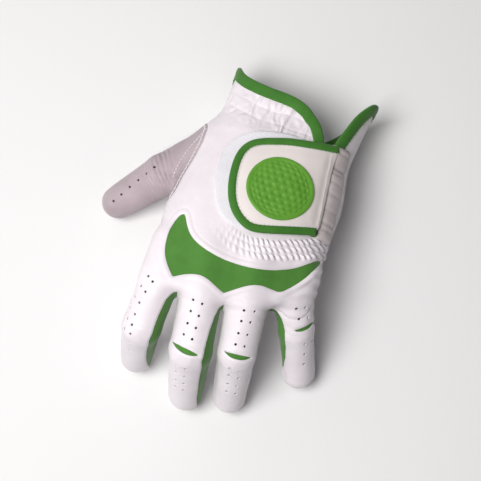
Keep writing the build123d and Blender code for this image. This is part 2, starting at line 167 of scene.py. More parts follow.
for name, f in FINGERS.items():
    f["R"] = a3(*f["root"])
    g = math.radians(f["heading"])
    for k in "12":
        s = math.radians(f["s" + k])
        d = a3(math.sin(g) * math.cos(s), -math.cos(g) * math.cos(s), -math.sin(s))
        v = a3(0, 0, 1) - d * d[2]
        v /= np.linalg.norm(v)
        f["d" + k], f["v" + k] = d, v
    f["h"] = np.cross(f["v1"], f["d1"])
    f["P"] = f["R"] + f["d1"] * f["l1"]
    f["T"] = f["P"] + f["d2"] * f["l2"]
    kx, ky = f["knuckle"]
    f["K"] = a3(kx, ky, float(top_z(kx, ky)) - f["radii"][0] + 0.5)


def finger_f(p, f):
    r0, r1, r2 = f["radii"]
    near = np.minimum(seg(p, f["K"], f["R"], r0, r0), seg(p, f["R"], f["P"], r0, r1))
    return smin(near, seg(p, f["P"], f["T"], r1, r2), 2.0)


def thumb_f(p):
    return smin(seg(p, THUMB["c"], THUMB["m"], THUMB["r"][0], THUMB["r"][1]),
                seg(p, THUMB["m"], THUMB["t"], THUMB["r"][1], THUMB["r"][2]), 1.5)


def glove_f(p):
    hand = hand_capped(p)
    best = hand
    for f in FINGERS.values():
        best = np.minimum(best, smin(hand, finger_f(p, f), 4.2))
    return smin(best, thumb_f(p), 7.0)


def grad(f, p, e=0.05):
    g = np.empty_like(p)
    for k in range(3):
        o = np.zeros(3)
        o[k] = e
        g[:, k] = (f(p + o) - f(p - o)) / (2 * e)
    return g


def project(f, p, steps=3):
    for _ in range(steps):
        g = grad(f, p)
        p = p - (f(p) / np.maximum((g**2).sum(1), 0.05))[:, None] * g
    return p


def unit(v):
    return v / np.maximum(np.linalg.norm(v, axis=-1, keepdims=True), 1e-9)


# ================================================================ skin mesh
def surface_nets(f, lo, hi, h):
    xs = [np.arange(lo[k], hi[k] + h, h) for k in range(3)]
    n = [len(x) for x in xs]
    F = np.empty(n, np.float32)
    Y, Z = np.meshgrid(xs[1], xs[2], indexing="ij")
    for i, x in enumerate(xs[0]):
        F[i] = f(np.stack([np.full(Y.size, x), Y.ravel(), Z.ravel()], 1)).reshape(Y.shape)
    inside = F < 0
    corner = [(a, b, c) for a in (0, 1) for b in (0, 1) for c in (0, 1)]
    count = sum(inside[a:n[0] - 1 + a, b:n[1] - 1 + b, c:n[2] - 1 + c].astype(np.int8) for a, b, c in corner)
    cells = np.argwhere((count > 0) & (count < 8))
    index = np.full([k - 1 for k in n], -1, np.int64)
    index[cells[:, 0], cells[:, 1], cells[:, 2]] = np.arange(len(cells))
    total, hits = np.zeros((len(cells), 3)), np.zeros(len(cells))
    for p0 in corner:
        for axis in range(3):
            if p0[axis]:
                continue
            p1 = list(p0)
            p1[axis] = 1
            f0 = F[cells[:, 0] + p0[0], cells[:, 1] + p0[1], cells[:, 2] + p0[2]]
            f1 = F[cells[:, 0] + p1[0], cells[:, 1] + p1[1], cells[:, 2] + p1[2]]
            cross = (f0 < 0) != (f1 < 0)
            t = np.where(cross, f0 / np.where(cross, f0 - f1, 1), 0)
            point = np.array(p0, float)[None] + t[:, None] * (np.array(p1) - np.array(p0))[None]
            total += np.where(cross[:, None], point, 0)
            hits += cross
    V = np.array(lo)[None] + (cells + total / hits[:, None]) * h
    quads = []
    for axis in range(3):
        b, c = (axis + 1) % 3, (axis + 2) % 3
        sl0, sl1 = [slice(None)] * 3, [slice(None)] * 3
        sl0[axis], sl1[axis] = slice(0, n[axis] - 1), slice(1, n[axis])
        cross = inside[tuple(sl0)] != inside[tuple(sl1)]
        e = np.argwhere(cross)
        e = e[(e[:, b] > 0) & (e[:, c] > 0) & (e[:, b] < n[b] - 1) & (e[:, c] < n[c] - 1)]
        first_in = inside[e[:, 0], e[:, 1], e[:, 2]]

        def cell(db, dc):
            q = e.copy()
            q[:, b] -= db
            q[:, c] -= dc
            return index[q[:, 0], q[:, 1], q[:, 2]]

        q = np.stack([cell(1, 1), cell(0, 1), cell(0, 0), cell(1, 0)], 1)
        q = np.where(first_in[:, None], q, q[:, ::-1])
        quads.append(q)
    q = np.concatenate(quads)
    q = q[(q >= 0).all(1)]
    return V, q


def split(V, T, g, eps=0.06):
    """Cuts the triangles along g = 0, so that none lies on both sides."""
    g = np.where(np.abs(g) < eps, 0.0, g)
    s = np.sign(g).astype(int)
    S = s[T]
    cross = (S.min(1) < 0) & (S.max(1) > 0)
    keep, C, SC = T[~cross], T[cross], S[cross]
    if not len(C):
        return V, T
    zero = (SC == 0).any(1)
    lone = np.where(zero, (SC == 0).argmax(1), np.where(SC.sum(1) > 0, (SC < 0).argmax(1), (SC > 0).argmax(1)))
    r = np.arange(len(C))
    v0, v1, v2 = C[r, lone], C[r, (lone + 1) % 3], C[r, (lone + 2) % 3]
    z = zero
    ea = np.concatenate([np.stack([v1[z], v2[z]], 1), np.stack([v0[~z], v1[~z]], 1), np.stack([v0[~z], v2[~z]], 1)])
    ea = np.sort(ea, 1)
    key, inv = np.unique(ea[:, 0] * (len(V) + 1) + ea[:, 1], return_inverse=True)
    i, j = key // (len(V) + 1), key % (len(V) + 1)
    t = g[i] / (g[i] - g[j])
    new = V[i] + t[:, None] * (V[j] - V[i])
    inv = inv.ravel() + len(V)
    nz, nn = z.sum(), (~z).sum()
    m = inv[:nz]
    m1, m2 = inv[nz:nz + nn], inv[nz + nn:]
    out = [keep, np.stack([v0[z], v1[z], m], 1), np.stack([v0[z], m, v2[z]], 1),
           np.stack([v0[~z], m1, m2], 1), np.stack([m1, v1[~z], v2[~z]], 1), np.stack([m1, v2[~z], m2], 1)]
    return np.concatenate([V, new]), np.concatenate(out)


def refine(V, T, mark):
    """Quarters the marked triangles and halves their neighbours to match."""
    n = len(V) + 1
    e = np.sort(np.stack([T[:, [0, 1]], T[:, [1, 2]], T[:, [2, 0]]], 1), 2)
    key = e[..., 0] * n + e[..., 1]
    cut = np.unique(key[mark])
    on = np.isin(key, cut)
    mid = np.searchsorted(cut, np.where(on, key, cut[0])) + len(V)
    i, j = cut // n, cut % n
    W = np.concatenate([V, project(glove_f, (V[i] + V[j]) / 2, 2)])
    count = on.sum(1)
    out = [T[count == 0]]
    a = T[count == 3]
    m = mid[count == 3]
    out += [np.stack([a[:, 0], m[:, 0], m[:, 2]], 1), np.stack([m[:, 0], a[:, 1], m[:, 1]], 1),
            np.stack([m[:, 2], m[:, 1], a[:, 2]], 1), m]
    for k, first in ((1, on.argmax(1)), (2, (on.argmin(1) + 1) % 3)):
        pick_ = count == k
        a, m, f0 = T[pick_], mid[pick_], first[pick_]
        r = np.arange(len(a))
        v0, v1, v2 = a[r, f0], a[r, (f0 + 1) % 3], a[r, (f0 + 2) % 3]
        m0, m1 = m[r, f0], m[r, (f0 + 1) % 3]
        if k == 1:
            out += [np.stack([v0, m0, v2], 1), np.stack([m0, v1, v2], 1)]
        else:
            out += [np.stack([m0, v1, m1], 1), np.stack([v0, m0, m1], 1), np.stack([v0, m1, v2], 1)]
    return W, np.concatenate(out)


def chaikin(pts, times=2, closed=True):
    p = np.array(pts, float)
    for _ in range(times):
        q = np.roll(p, -1, 0) if closed else p[1:]
        o = p if closed else p[:-1]
        new = np.empty((2 * len(o), p.shape[1]))
        new[0::2], new[1::2] = 0.75 * o + 0.25 * q, 0.25 * o + 0.75 * q
        p = new if closed else np.concatenate([p[:1], new, p[-1:]])
    return p


def poly_sd(xy, poly):
    """Signed distance in plan to a closed outline, positive inside; far points only get a bound."""
    out = np.full(len(xy), -20.0)
    lo, hi = poly.min(0) - 12, poly.max(0) + 12
    near = ((xy > lo) & (xy < hi)).all(1)
    q = xy[near]
    best, inside = np.full(len(q), 1e9), np.zeros(len(q), bool)
    for a, b in zip(poly, np.roll(poly, -1, 0)):
        ba, pa = b - a, q - a
        t = np.clip(pa @ ba / max(ba @ ba, 1e-9), 0, 1)
        best = np.minimum(best, ((pa - t[:, None] * ba) ** 2).sum(1))
        c = (a[1] > q[:, 1]) != (b[1] > q[:, 1])
        xc = a[0] + (q[:, 1] - a[1]) * ba[0] / (ba[1] if abs(ba[1]) > 1e-12 else 1e-12)
        inside ^= c & (q[:, 0] < xc)
    out[near] = np.where(inside, 1, -1) * np.sqrt(best)
    return out


# ---------------------------------------------------------------- outlines on the back of the hand, in plan
KNUCKLE = chaikin([(-30.1, -0.3), (-32.1, -1.8), (-33.7, -6.2), (-34.3, -11.7), (-33.8, -18.2), (-32.2, -24.0),
                   (-28.8, -29.0), (-24.9, -33.4), (-24.6, -33.4), (-20.2, -30.8), (-15.7, -29.1), (-10.9, -28.5),
                   (-6.3, -29.7), (-1.4, -32.0), (1.9, -33.2), (2.2, -33.2), (7.0, -29.5), (11.8, -26.2), (17.9, -23.6),
                   (24.5, -23.6), (28.6, -23.8), (33.3, -19.2), (38.3, -12.7), (41.2, -7.8), (43.6, -2.4), (44.0, -0.2), (42.6, 0.4),
                   (36.8, -5.3), (31.7, -9.5), (26.3, -12.3), (19.4, -15.2), (12.2, -16.8), (4.7, -17.3), (-3.1, -17.2),
                   (-11.2, -16.0), (-17.3, -14.0), (-22.1, -11.2), (-26.0, -6.7), (-28.9, -1.2)], 2)
TAB_OUT = chaikin([(32.4, 60.0), (27.1, 58.4), (18.6, 56.3), (8.9, 54.2), (2.5, 52.3), (-4.8, 49.6),
                   (-9.4, 46.7), (-12.3, 42.9), (-14.1, 37.5), (-14.3, 29.9), (-13.2, 21.2), (-11.3, 14.5),
                   (-8.5, 8.9), (-5.2, 5.1), (-1.2, 2.2), (3.4, 0.4), (8.7, 0.8), (17.9, 3.6), (27.1, 6.9),
                   (32.0, 8.8), (35.2, 10.0)], 2, False)
LOOP_PAD = chaikin([(12.0, 58.5), (-6.3, 55.4), (-16.3, 49.4), (-21.4, 41.3), (-22.0, 29.7), (-19.8, 17.5), (-14.8, 7.0),
                    (-8.0, 1.6), (0.5, 0.6), (12.0, 3.0), (22.0, 8.0), (22.0, 56.0)], 2)
RIM = chaikin([(-60, 83.0), (-36.8, 85.2), (-33.1, 88.9), (-31.3, 92.0), (-29.2, 88.0), (-25.0, 83.7), (-17.9, 80.9), (-8.8, 79.0), (-0.3, 78.4),
               (6.2, 77.5), (12.3, 75.2), (16.4, 72.2), (21.7, 67.8), (24.6, 62.4), (26.5, 58.6), (30.5, 40.0),
               (33.4, 16.0), (34.6, 13.6), (35.6, 16.0), (34.2, 40.0), (32.2, 61.0), (33.5, 65.4), (35.7, 72.2),
               (38.7, 80.8), (43.1, 88.0), (47.0, 92.4), (66, 93.6), (66, 130), (-60, 130)], 1)
PALM_RIM = chaikin([(-60, 83.0), (-37, 84.6), (-33.0, 87.0), (-28.0, 85.0), (-24, 80.0), (-12, 70.5), (0, 65.2), (8, 64.0),
                    (18, 65.4), (29, 71.0), (39, 81.5), (46, 90.5), (49, 92.8), (66, 93.6), (66, 130), (-60, 130)], 1)
THUMB_LINE = np.array([(-48.5, -12), (-47.5, -1), (-44.5, 3.5), (-40.6, 8.5), (-39.4, 12.7), (-38.2, 21.8), (-35.7, 33.1), (-34.3, 42.0), (-34.6, 50.0), (-37.6, 58.5)])
THUMB_UNDER = np.array([(-48.5, -12), (-47.5, -1), (-43.5, 3.5), (-38.5, 9.0), (-34.0, 16.0), (-30.5, 26.0), (-29.0, 38.0), (-30.6, 47.0), (-33.4, 53.5), (-37.6, 58.5)])
CRESCENTS = {
    "middle": [(-15.7, -62.9), (-14.6, -63.6), (-11.6, -64.3), (-8.3, -64.9), (-5.0, -65.3), (-1.9, -65.8), (0.0, -66.1), (-1.6, -67.5), (-4.9, -68.5), (-8.2, -68.4), (-12.1, -67.0), (-15.2, -64.4)],
    "ring": [(10.3, -59.3), (11.8, -60.0), (14.8, -60.0), (18.1, -59.7), (21.4, -59.2), (23.8, -58.7), (25.2, -58.0), (24.0, -60.2), (22.0, -61.9), (18.9, -62.9), (15.3, -62.9), (11.8, -61.2)],
    "little": [(41.4, -37.6), (42.4, -37.2), (43.9, -36.1), (45.8, -34.5), (47.4, -32.6), (49.3, -29.6), (49.9, -28.6), (49.4, -33.4), (47.2, -36.4), (44.2, -38.2), (41.6, -38.4)],
}
for k_, thin in (("middle", 0.84), ("ring", 0.84), ("little", 0.86)):
    c_ = np.array(CRESCENTS[k_])
    far_ = np.argmax(np.linalg.norm(c_ - c_[0], axis=1))
    chord_ = unit(c_[far_] - c_[0])
    off_ = (c_ - c_[0]) @ np.array([-chord_[1], chord_[0]])
    CRESCENTS[k_] = c_ + np.outer(off_ * (thin - 1.0), np.array([-chord_[1], chord_[0]]))
CRESCENTS = {k: chaikin(v, 2) for k, v in CRESCENTS.items()}
HOLES = {
    "index": [(-37.3, -36.6, 62.9), (-38.8, -42.2, 59.8), (-40.3, -47.7, 56.1), (-40.8, -53.7, 53.3), (-40.4, -59.1, 52.1),
              (-39.6, -63.9, 49.6), (-39.6, -67.9, 43.5), (-33.9, -38.9, 64.3), (-35.6, -44.7, 61.5), (-37.0, -50.5, 58.4),
              (-37.5, -56.4, 55.7), (-37.1, -61.6, 53.9), (-36.5, -65.8, 52.1), (-36.1, -69.7, 45.8), (-36.0, -72.9, 36.2)],
    "middle": [(-11.4, -41.2, 62.4), (-10.9, -46.8, 61.0), (-10.6, -52.9, 59.3), (-10.8, -58.6, 57.5), (-6.4, -41.8, 62.5),
               (-6.2, -47.9, 61.1), (-5.8, -53.9, 59.6), (-5.9, -59.7, 58.2), (-9.7, -73.3, 49.4), (-9.5, -76.6, 42.1),
               (-8.9, -79.9, 35.4), (-8.2, -82.7, 29.8), (-5.0, -74.0, 50.1), (-4.6, -77.4, 42.8), (-4.2, -80.6, 36.2), (-3.7, -83.4, 30.2)],
    "ring": [(14.3, -38.2, 60.0), (14.6, -43.5, 58.2), (15.0, -49.5, 56.2), (15.3, -55.1, 54.4), (19.5, -36.9, 58.9),
             (19.2, -42.6, 57.4), (19.7, -48.8, 55.5), (20.1, -54.6, 53.7), (16.2, -66.5, 47.4), (16.5, -69.8, 41.4),
             (17.1, -73.6, 34.4), (17.4, -76.9, 28.1), (20.9, -66.2, 46.0), (21.6, -69.5, 39.5), (21.8, -73.2, 33.0), (22.3, -76.4, 26.8)],
    "little": [(38.9, -28.0, 49.8), (43.0, -25.6, 48.2), (41.9, -32.1, 46.0), (45.7, -29.5, 43.9), (48.3, -42.0, 35.6),
               (50.0, -46.5, 30.0), (51.2, -51.0, 24.8), (51.2, -39.1, 32.5)],
    "thumb": [(-71.5, 1.4, 18.2), (-68.3, 5.6, 21.0), (-65.1, 10.3, 23.9), (-61.6, 14.7, 26.7), (-58.2, 18.8, 29.5), (-55.1, 23.1, 31.7)],
}
# stretch gussets between the fingers: (distance along the finger, dorsal edge angle, palm edge angle), + towards the little finger
GUSSETS = {
    ("index", 1): [(-6, 66, 96), (0, 44, 112), (9, 40, 116), (22, 41, 118), (30, 42, 118), (40, 46, 114), (49, 56, 106), (56, 70, 96), (60, 84, 88)],
    ("middle", 1): [(-6, 84, 98), (0, 70, 110), (6, 53, 114), (14, 45, 116), (24, 39, 116), (31, 40, 116), (47, 42, 114), (60, 45, 112), (67, 50, 110), (72, 60, 102), (75.4, 82, 90)],
    ("middle", -1): [(-6, 96, 104), (2, 93, 122), (30, 92, 126), (50, 93, 118), (62, 98, 104)],
    ("ring", 1): [(-6, 96, 104), (2, 93, 122), (30, 92, 124), (48, 93, 116), (60, 98, 104)],
    ("ring", -1): [(-6, 98, 104), (2, 96, 122), (30, 95, 124), (48, 96, 116), (60, 99, 104)],
    ("little", -1): [(-5, 84, 98), (2, 64, 108), (7, 46, 114), (14, 38, 118), (22, 41, 118), (31, 49, 110), (38.6, 66, 100), (44, 86, 90)],
}


def finger_coords(p, f):
    """Distance along a finger and angle round it, 0 on its back, + towards the little finger."""
    x = p - f["P"]
    far = x @ (f["d1"] + f["d2"]) > 0
    xr = p - f["R"]
    s = np.where(far, np.maximum(f["l1"] + x @ f["d2"], f["l1"]), np.minimum(xr @ f["d1"], f["l1"]))
    up = np.where(far, x @ f["v2"], xr @ f["v1"])
    side = x @ f["h"]
    return s, np.degrees(np.arctan2(side, up)), np.hypot(side, up)


def gusset_g(p, name):
    """Positive inside the stretch gussets of a finger, in mm."""
    f = FINGERS[name]
    s, phi, r = finger_coords(p, f)
    out = np.full(len(p), -30.0)
    for (n, sign), rows in GUSSETS.items():
        if n != name:
            continue
        rows = np.array(rows, float)
        a = phi * sign
        d, e = np.interp(s, rows[:, 0], rows[:, 1]), np.interp(s, rows[:, 0], rows[:, 2])
        g = np.minimum(a - d, e - a) * np.pi / 180 * np.minimum(r, 14.0)
        g = np.minimum(g, s - rows[0, 0])
        g = np.minimum(g, rows[-1, 0] - s)
        out = np.maximum(out, g)
    return np.where(finger_f(p, f) > 3.5, -30.0, out)


def seam_g(p):
    return p[:, 2] - np.interp(p[:, 1], SEAM_Z[:, 0], SEAM_Z[:, 1])


def rim_g(p):
    """Distance in from the glove's open edge: positive on the leather."""
    return np.where(seam_g(p) > 0, -poly_sd(p[:, :2], RIM), -poly_sd(p[:, :2], PALM_RIM))


THUMB_MID = (THUMB["m"][2] + 2.0)


def thumb_g(p):
    """Positive on the thumb's leather."""
    over = np.interp(p[:, 1], THUMB_LINE[:, 1], THUMB_LINE[:, 0]) - p[:, 0]
    under = np.interp(p[:, 1], THUMB_UNDER[:, 1], THUMB_UNDER[:, 0]) - p[:, 0]
    w = np.clip((p[:, 2] - 20.0) / 10.0, 0, 1)
    return over * w + under * (1 - w)


def knuckle_g(p):
    return np.where(p[:, 2] > 40, poly_sd(p[:, :2], KNUCKLE), -20.0)


def crescent_g(p, name):
    top = p[:, 2] > FINGERS[name]["P"][2]
    return np.where(top, poly_sd(p[:, :2], CRESCENTS[name]), -20.0)


ROOT_BACK = {"index": 3.0, "middle": 3.0, "ring": 3.0, "little": 3.0}
MID_CUT = {"index": 9.5, "middle": 13.0, "ring": 12.0, "little": 12.5}

V, Q = surface_nets(glove_f, (-84, -98, -4), (58, 102, 70), STEP)
V = project(glove_f, V)
T = np.concatenate([Q[:, [0, 1, 2]], Q[:, [0, 2, 3]]])
chains = lambda p: np.stack([finger_f(p, FINGERS[n]) for n in NAMES], 1)

# cut lines, in order
D = chains(V)
for i in range(3):
    g = np.where(V[:, 1] < -14, D[:, i] - D[:, i + 1], 9.0)
    both = (np.abs(D[:, i]) < 9) & (np.abs(D[:, i + 1]) < 9)
    g = np.where(both, g, np.where(D[:, i] < D[:, i + 1], -9.0, 9.0))
    mask = both[T].all(1) & (V[:, 1][T].max(1) < -14)
    keep = T[~mask]
    V, cut = split(V, T[mask], g)
    T = np.concatenate([keep, cut])
    D = chains(V)
for i, n in enumerate(NAMES):
    f = FINGERS[n]
    for off_ in (-ROOT_BACK[n], MID_CUT[n]):
        near = (D.argmin(1) == i) & (D[:, i] < 6)
        mask = near[T].all(1)
        keep = T[~mask]
        V, cut = split(V, T[mask], (V - f["R"]) @ f["d1"] - off_)
        T = np.concatenate([keep, cut])
        D = chains(V)
for n in NAMES:
    V, T = split(V, T, gusset_g(V, n))
for n in CRESCENTS:
    V, T = split(V, T, crescent_g(V, n))
V, T = split(V, T, knuckle_g(V))
V, T = split(V, T, np.where(V[:, 1] > -60, seam_g(V), 9.0))
V, T = split(V, T, thumb_g(V))
V, T = split(V, T, rim_g(V), 0.02)
T = T[rim_g(V[T].mean(1)) > 0]
RIM_V, RIM_T = V.copy(), T.copy()
V, T = split(V, T, rim_g(V) - 1.6, 0.02)
T = T[rim_g(V[T].mean(1)) > 1.6]
centres = {n: project(glove_f, np.array(h, float)) for n, h in HOLES.items()}
all_holes = np.concatenate(list(centres.values()))
HOLE_R = 0.74


def hole_g(p):
    """Distance from the nearest perforation's edge, in mm: negative inside one."""
    best = np.full(len(p), 5.0)
    for c in all_holes:
        near = np.abs(p - c).max(1) < 3
        # the leather is pulled over the fingertips, which opens the holes there
        r = HOLE_R + (0.16 if c[2] < 50.6 and c[0] > -50 else 0.0)
        best[near] = np.minimum(best[near], np.sqrt(((p[near] - c) ** 2).sum(1)) - r)
    return best


V, T = refine(V, T, hole_g(V[T].mean(1)) < 1.0)
V, T = split(V, T, hole_g(V), 0.02)
mid = V[T].mean(1)
T = T[hole_g(mid) > 0]
mid = V[T].mean(1)
fine_zone = (mid[:, 2] > 34) & (mid[:, 1] > -18) & (knuckle_g(mid) < 2) & (np.where(mid[:, 2] > 40, poly_sd(mid[:, :2], LOOP_PAD), -5) < 2)
fine_zone &= (mid[:, 0] > -34) & (mid[:, 1] < 84)
fine_zone |= (thumb_g(mid) > -1.0) & (np.abs((mid - THUMB["m"]) @ unit(THUMB["t"] - THUMB["m"])) < 17)
for n in NAMES:
    s_, phi_, r_ = finger_coords(mid, FINGERS[n])
    up_ = r_ * np.cos(np.radians(phi_))
    fine_zone |= (finger_f(mid, FINGERS[n]) < 1.5) & (s_ > FINGERS[n]["l1"] + 5) & (np.abs(phi_) > 35) & (np.abs(up_ - 2.6) < 2.0)
V, T = refine(V, T, fine_zone)
used = np.unique(T)
remap = np.full(len(V), -1)
remap[used] = np.arange(len(used))
V, T = V[used], remap[T]
N0 = unit(grad(glove_f, V))

# ---------------------------------------------------------------- which triangle belongs to what
mid = V[T].mean(1)
Dm = chains(mid)
owner = Dm.argmin(1)
label = np.full(len(T), "palm_leather", dtype=object)
side = seam_g(mid) > 0
label[side] = "back_leather"
green = np.zeros(len(T), bool)
for i, n in enumerate(NAMES):
    f = FINGERS[n]
    s = (mid - f["R"]) @ f["d1"]
    on = (owner == i) & (s > -ROOT_BACK[n]) & (Dm[:, i] < 4) & (mid[:, 1] < -18)
    far = on & ((s > MID_CUT[n]) | ((mid - f["P"]) @ f["d2"] > 0))
    label[on] = n + "_base"
    label[far] = n + "_tip"
    f["on"] = on
kn = (knuckle_g(mid) > 0) & np.isin(label, ["back_leather", "palm_leather"])
label[kn] = "knuckle_panel"
for n in NAMES:
    g = (gusset_g(mid, n) > 0) & FINGERS[n]["on"]
    label[g] = np.array([x + "_gusset" for x in label[g]], dtype=object)
    back = (gusset_g(mid, n) > 0) & ~FINGERS[n]["on"] & np.isin(label, ["back_leather", "palm_leather"])
    label[back] = "web_gusset"
    if n in CRESCENTS:
        c = (crescent_g(mid, n) > 0) & FINGERS[n]["on"]
        label[c] = n + "_crescent"
th = (thumb_g(mid) > 0) & np.isin(label, ["back_leather", "palm_leather"])
label[th] = "thumb_leather"


# ================================================================ relief of the leather
LATTICE = rng.rand(32, 32, 32)


def noise(p, size, seed=0.0):
    """Smooth value noise from -1 to 1 with cells of the given size (a number or one per axis)."""
    q = p / np.asarray(size, float) + seed
    i = np.floor(q).astype(int)
    t = q - i
    t = t * t * t * (t * (t * 6 - 15) + 10)
    out = np.zeros(len(p))
    for dx in (0, 1):
        for dy in (0, 1):
            for dz in (0, 1):
                w = (t[:, 0] if dx else 1 - t[:, 0]) * (t[:, 1] if dy else 1 - t[:, 1]) * (t[:, 2] if dz else 1 - t[:, 2])
                out += w * LATTICE[(i[:, 0] + dx) % 32, (i[:, 1] + dy) % 32, (i[:, 2] + dz) % 32]
    return out * 2 - 1


def smooth(x, a, b):
    t = np.clip((x - a) / (b - a), 0, 1)
    return t * t * (3 - 2 * t)


def bump(x, w):
    return np.exp(-((x / w) ** 2))


def along(p, poly):
    """Distance to an open line in plan, signed to its left, and length along it."""
    q = p[:, :2]
    best, arc, sign, run = np.full(len(q), 1e9), np.zeros(len(q)), np.ones(len(q)), 0.0
    for a, b in zip(poly[:-1], poly[1:]):
        ba, pa = b - a, q - a
        L = np.linalg.norm(ba)
        t = np.clip(pa @ ba / (L * L), 0, 1)
        d = ((pa - t[:, None] * ba) ** 2).sum(1)
        better = d < best
        best = np.where(better, d, best)
        arc = np.where(better, run + t * L, arc)
        sign = np.where(better, np.sign(ba[0] * pa[:, 1] - ba[1] * pa[:, 0]), sign)
        run += L
    return np.sqrt(best) * sign, arc


# elastic rows under the tab: a line from the thumb side to the little finger side, in plan
ROWS = chaikin([(-15.0, 5.0), (-8.5, -3.0), (0.0, -6.6), (10.0, -7.0), (20.0, -4.4), (30.0, -0.2), (38.0, 4.2), (46.0, 9.5)], 2, False)
CUFF_ROWS = chaikin([(-30.0, 70.0), (-18.0, 64.5), (-6.0, 62.5), (8.0, 63.0), (18.0, 61.5)], 2, False)


def relief(p):
    """How far the leather stands out of the smooth shape, in mm."""
    top = seam_g(p) > -1.0
    d = 0.16 * noise(p, 9.0) + 0.07 * noise(p, 4.0, 3.3)
    # sewn joins: the leather is pulled in along the thread and swells beside it
    for g, depth in ((seam_g(p) / 1.15 + (p[:, 1] < -38) * 90, 0.35), (thumb_g(p), 0.45)):
        a = np.abs(g)
        d += -depth * bump(a, 0.55) + 0.22 * depth * bump(a - 1.7, 0.9)
    # edges laid over the stretch panels
    kg = knuckle_g(p)
    d += -0.28 * bump(kg, 0.45) + 0.16 * bump(kg + 1.5, 0.8) - 0.12 * bump(kg + 3.1, 0.5)
    for n in NAMES:
        gg = gusset_g(p, n)
        d += -0.24 * bump(gg, 0.4) + 0.12 * bump(gg + 1.3, 0.7)
    for n in CRESCENTS:
        gc = crescent_g(p, n)
        d += -0.2 * bump(gc, 0.4) + 0.14 * bump(gc + 1.2, 0.8)
    # gathered elastic between the cuff and the tab
    dist, arc = along(p, CUFF_ROWS)
    band = smooth(dist, -9.5, -4.0) * (1 - smooth(dist, 8.5, 12.5)) * smooth(p[:, 0], -33, -27) * (1 - smooth(p[:, 0], 23, 27)) * (p[:, 2] > 30)
    wob = noise(p, 6.0, 5.1) * 2.6
    crinkle = noise(np.stack([arc + wob, dist * 0.27, arc * 0], 1), (2.3, 2.1, 9.0), 7.7)
    fine = noise(np.stack([arc + wob * 0.6, dist * 0.45, arc * 0], 1), (1.5, 1.6, 9.0), 2.7)
    thread = np.abs(np.sin(np.pi * (dist + 1.5 + 0.6 * noise(p, 5.0, 3.6)) / 6.4))
    d += band * ((0.78 * crinkle + 0.34 * fine) * (0.45 + 0.55 * thread**0.5) - 0.30 * (1 - thread) ** 2 - 0.1)
    # rope-like rows of elastic under the tab
    dist, arc = along(p, ROWS)
    fade = (0.12 * smooth(arc, 3.0, 10.0) + 0.88 * smooth(arc, 9.0, 34.0)) * (1 - smooth(arc, 66.0, 72.0)) * (p[:, 2] > 30)
    v = dist + 5.6 + 0.45 * noise(p, 6.0, 9.1)
    inside = smooth(v, -0.4, 0.6) * (1 - smooth(v, 10.4, 11.6))
    number = np.floor(v / 3.7)
    part = v / 3.7 - number
    row = np.sin(np.pi * part)
    lean = np.sin(2 * np.pi * (arc * 0.34 + part * 0.62 + 0.41 * number + 0.25 * noise(p, 7.0, 4.2)))
    d += fade * inside * (0.72 * row**0.7 * (0.30 + 0.70 * lean) + 0.34 * row - 0.22)
    # faint raised loop pad beside the tab
    lp = poly_sd(p[:, :2], LOOP_PAD)
    d += np.where(top, 0.22 * smooth(lp, -1.4, 0.6), 0)
    # creases across the thumb's base
    x = p - THUMB["m"]
    dt = unit(THUMB["t"] - THUMB["m"])
    s = x @ dt
    v_ = x[:, 2] * 0.8 - x[:, 0] * 0.3 + x[:, 1] * 0.3
    lump = smooth(s, -15, -8) * (1 - smooth(s, 3, 9)) * (thumb_g(p) > 0) * (0.10 + 0.90 * smooth(x[:, 2], 3.0, 10.5))
    fan = s * (1.0 - 0.018 * v_) + 0.011 * v_**2
    fold = np.sin(2 * np.pi * (fan / 1.75 + 0.30 * noise(p, 9.0, 1.5)))
    d += lump * (0.44 * fold * (0.60 + 0.40 * noise(p, 6.0, 8.8)) + 0.16 * noise(np.stack([s, v_ * 0.2, s * 0], 1), 2.3, 4.9))
    # bends across the backs of the fingers
    for n in NAMES:
        f = FINGERS[n]
        s, phi, r = finger_coords(p, f)
        on = (finger_f(p, f) < 2.5) & (s > -4)
        across = np.cos(np.radians(phi))
        up = r * across
        welt = on * smooth(s, f["l1"] + 5.0, f["l1"] + 12.0) * (np.abs(phi) > 35)
        d += welt * (0.34 * bump(up - 2.2, 0.62) - 0.20 * bump(up - 3.5, 0.7))
        under = (across < -0.2) * bump(s - f["l1"], 5.0)
        d += on * under * -0.5 * np.abs(np.sin(np.pi * s / 4.2)) ** 3
        d += on * 0.10 * bump(s - f["l1"] + 1.0, 7.0) * np.sin(2 * np.pi * (s / 3.1 + 0.8 * noise(p, 7.0, 6.1))) * smooth(across, 0.1, 0.5)
    # folds on the outer edge of the hand under the little finger
    q = p - a3(44.0, -14.0, 40.0)
    reach = bump(np.linalg.norm(q * a3(1, 0.8, 0.7), axis=1), 13.0)
    d += reach * 0.42 * np.sin(2 * np.pi * ((q[:, 1] * 0.8 - q[:, 0] * 0.35) / 4.6 + 0.5 * noise(p, 9.0, 2.2)))
    # shallow creases where the fingers leave the hand
    q = p - a3(18.0, -34.0, 50.0)
    reach = bump(np.linalg.norm(q * a3(0.55, 1.0, 0.8), axis=1), 9.0)
    d += reach * 0.22 * np.sin(2 * np.pi * ((q[:, 1] - q[:, 0] * 0.12) / 4.2 + 0.45 * noise(p, 10.0, 5.7)))
    return d


def relief_green(p):
    rib = 0.05 * noise(p, 3.0, 4.4)
    return -0.55 + rib + 0.10 * noise(p, 10.0, 1.1)


LEATHER_SETS = ["back_leather", "palm_leather", "thumb_leather"] + [n + k for n in NAMES for k in ("_base", "_tip")]
is_leather = np.isin(label, LEATHER_SETS)
R_leather, R_green = relief(V), relief_green(V)
VL, VG = V + N0 * R_leather[:, None], V + N0 * R_green[:, None]


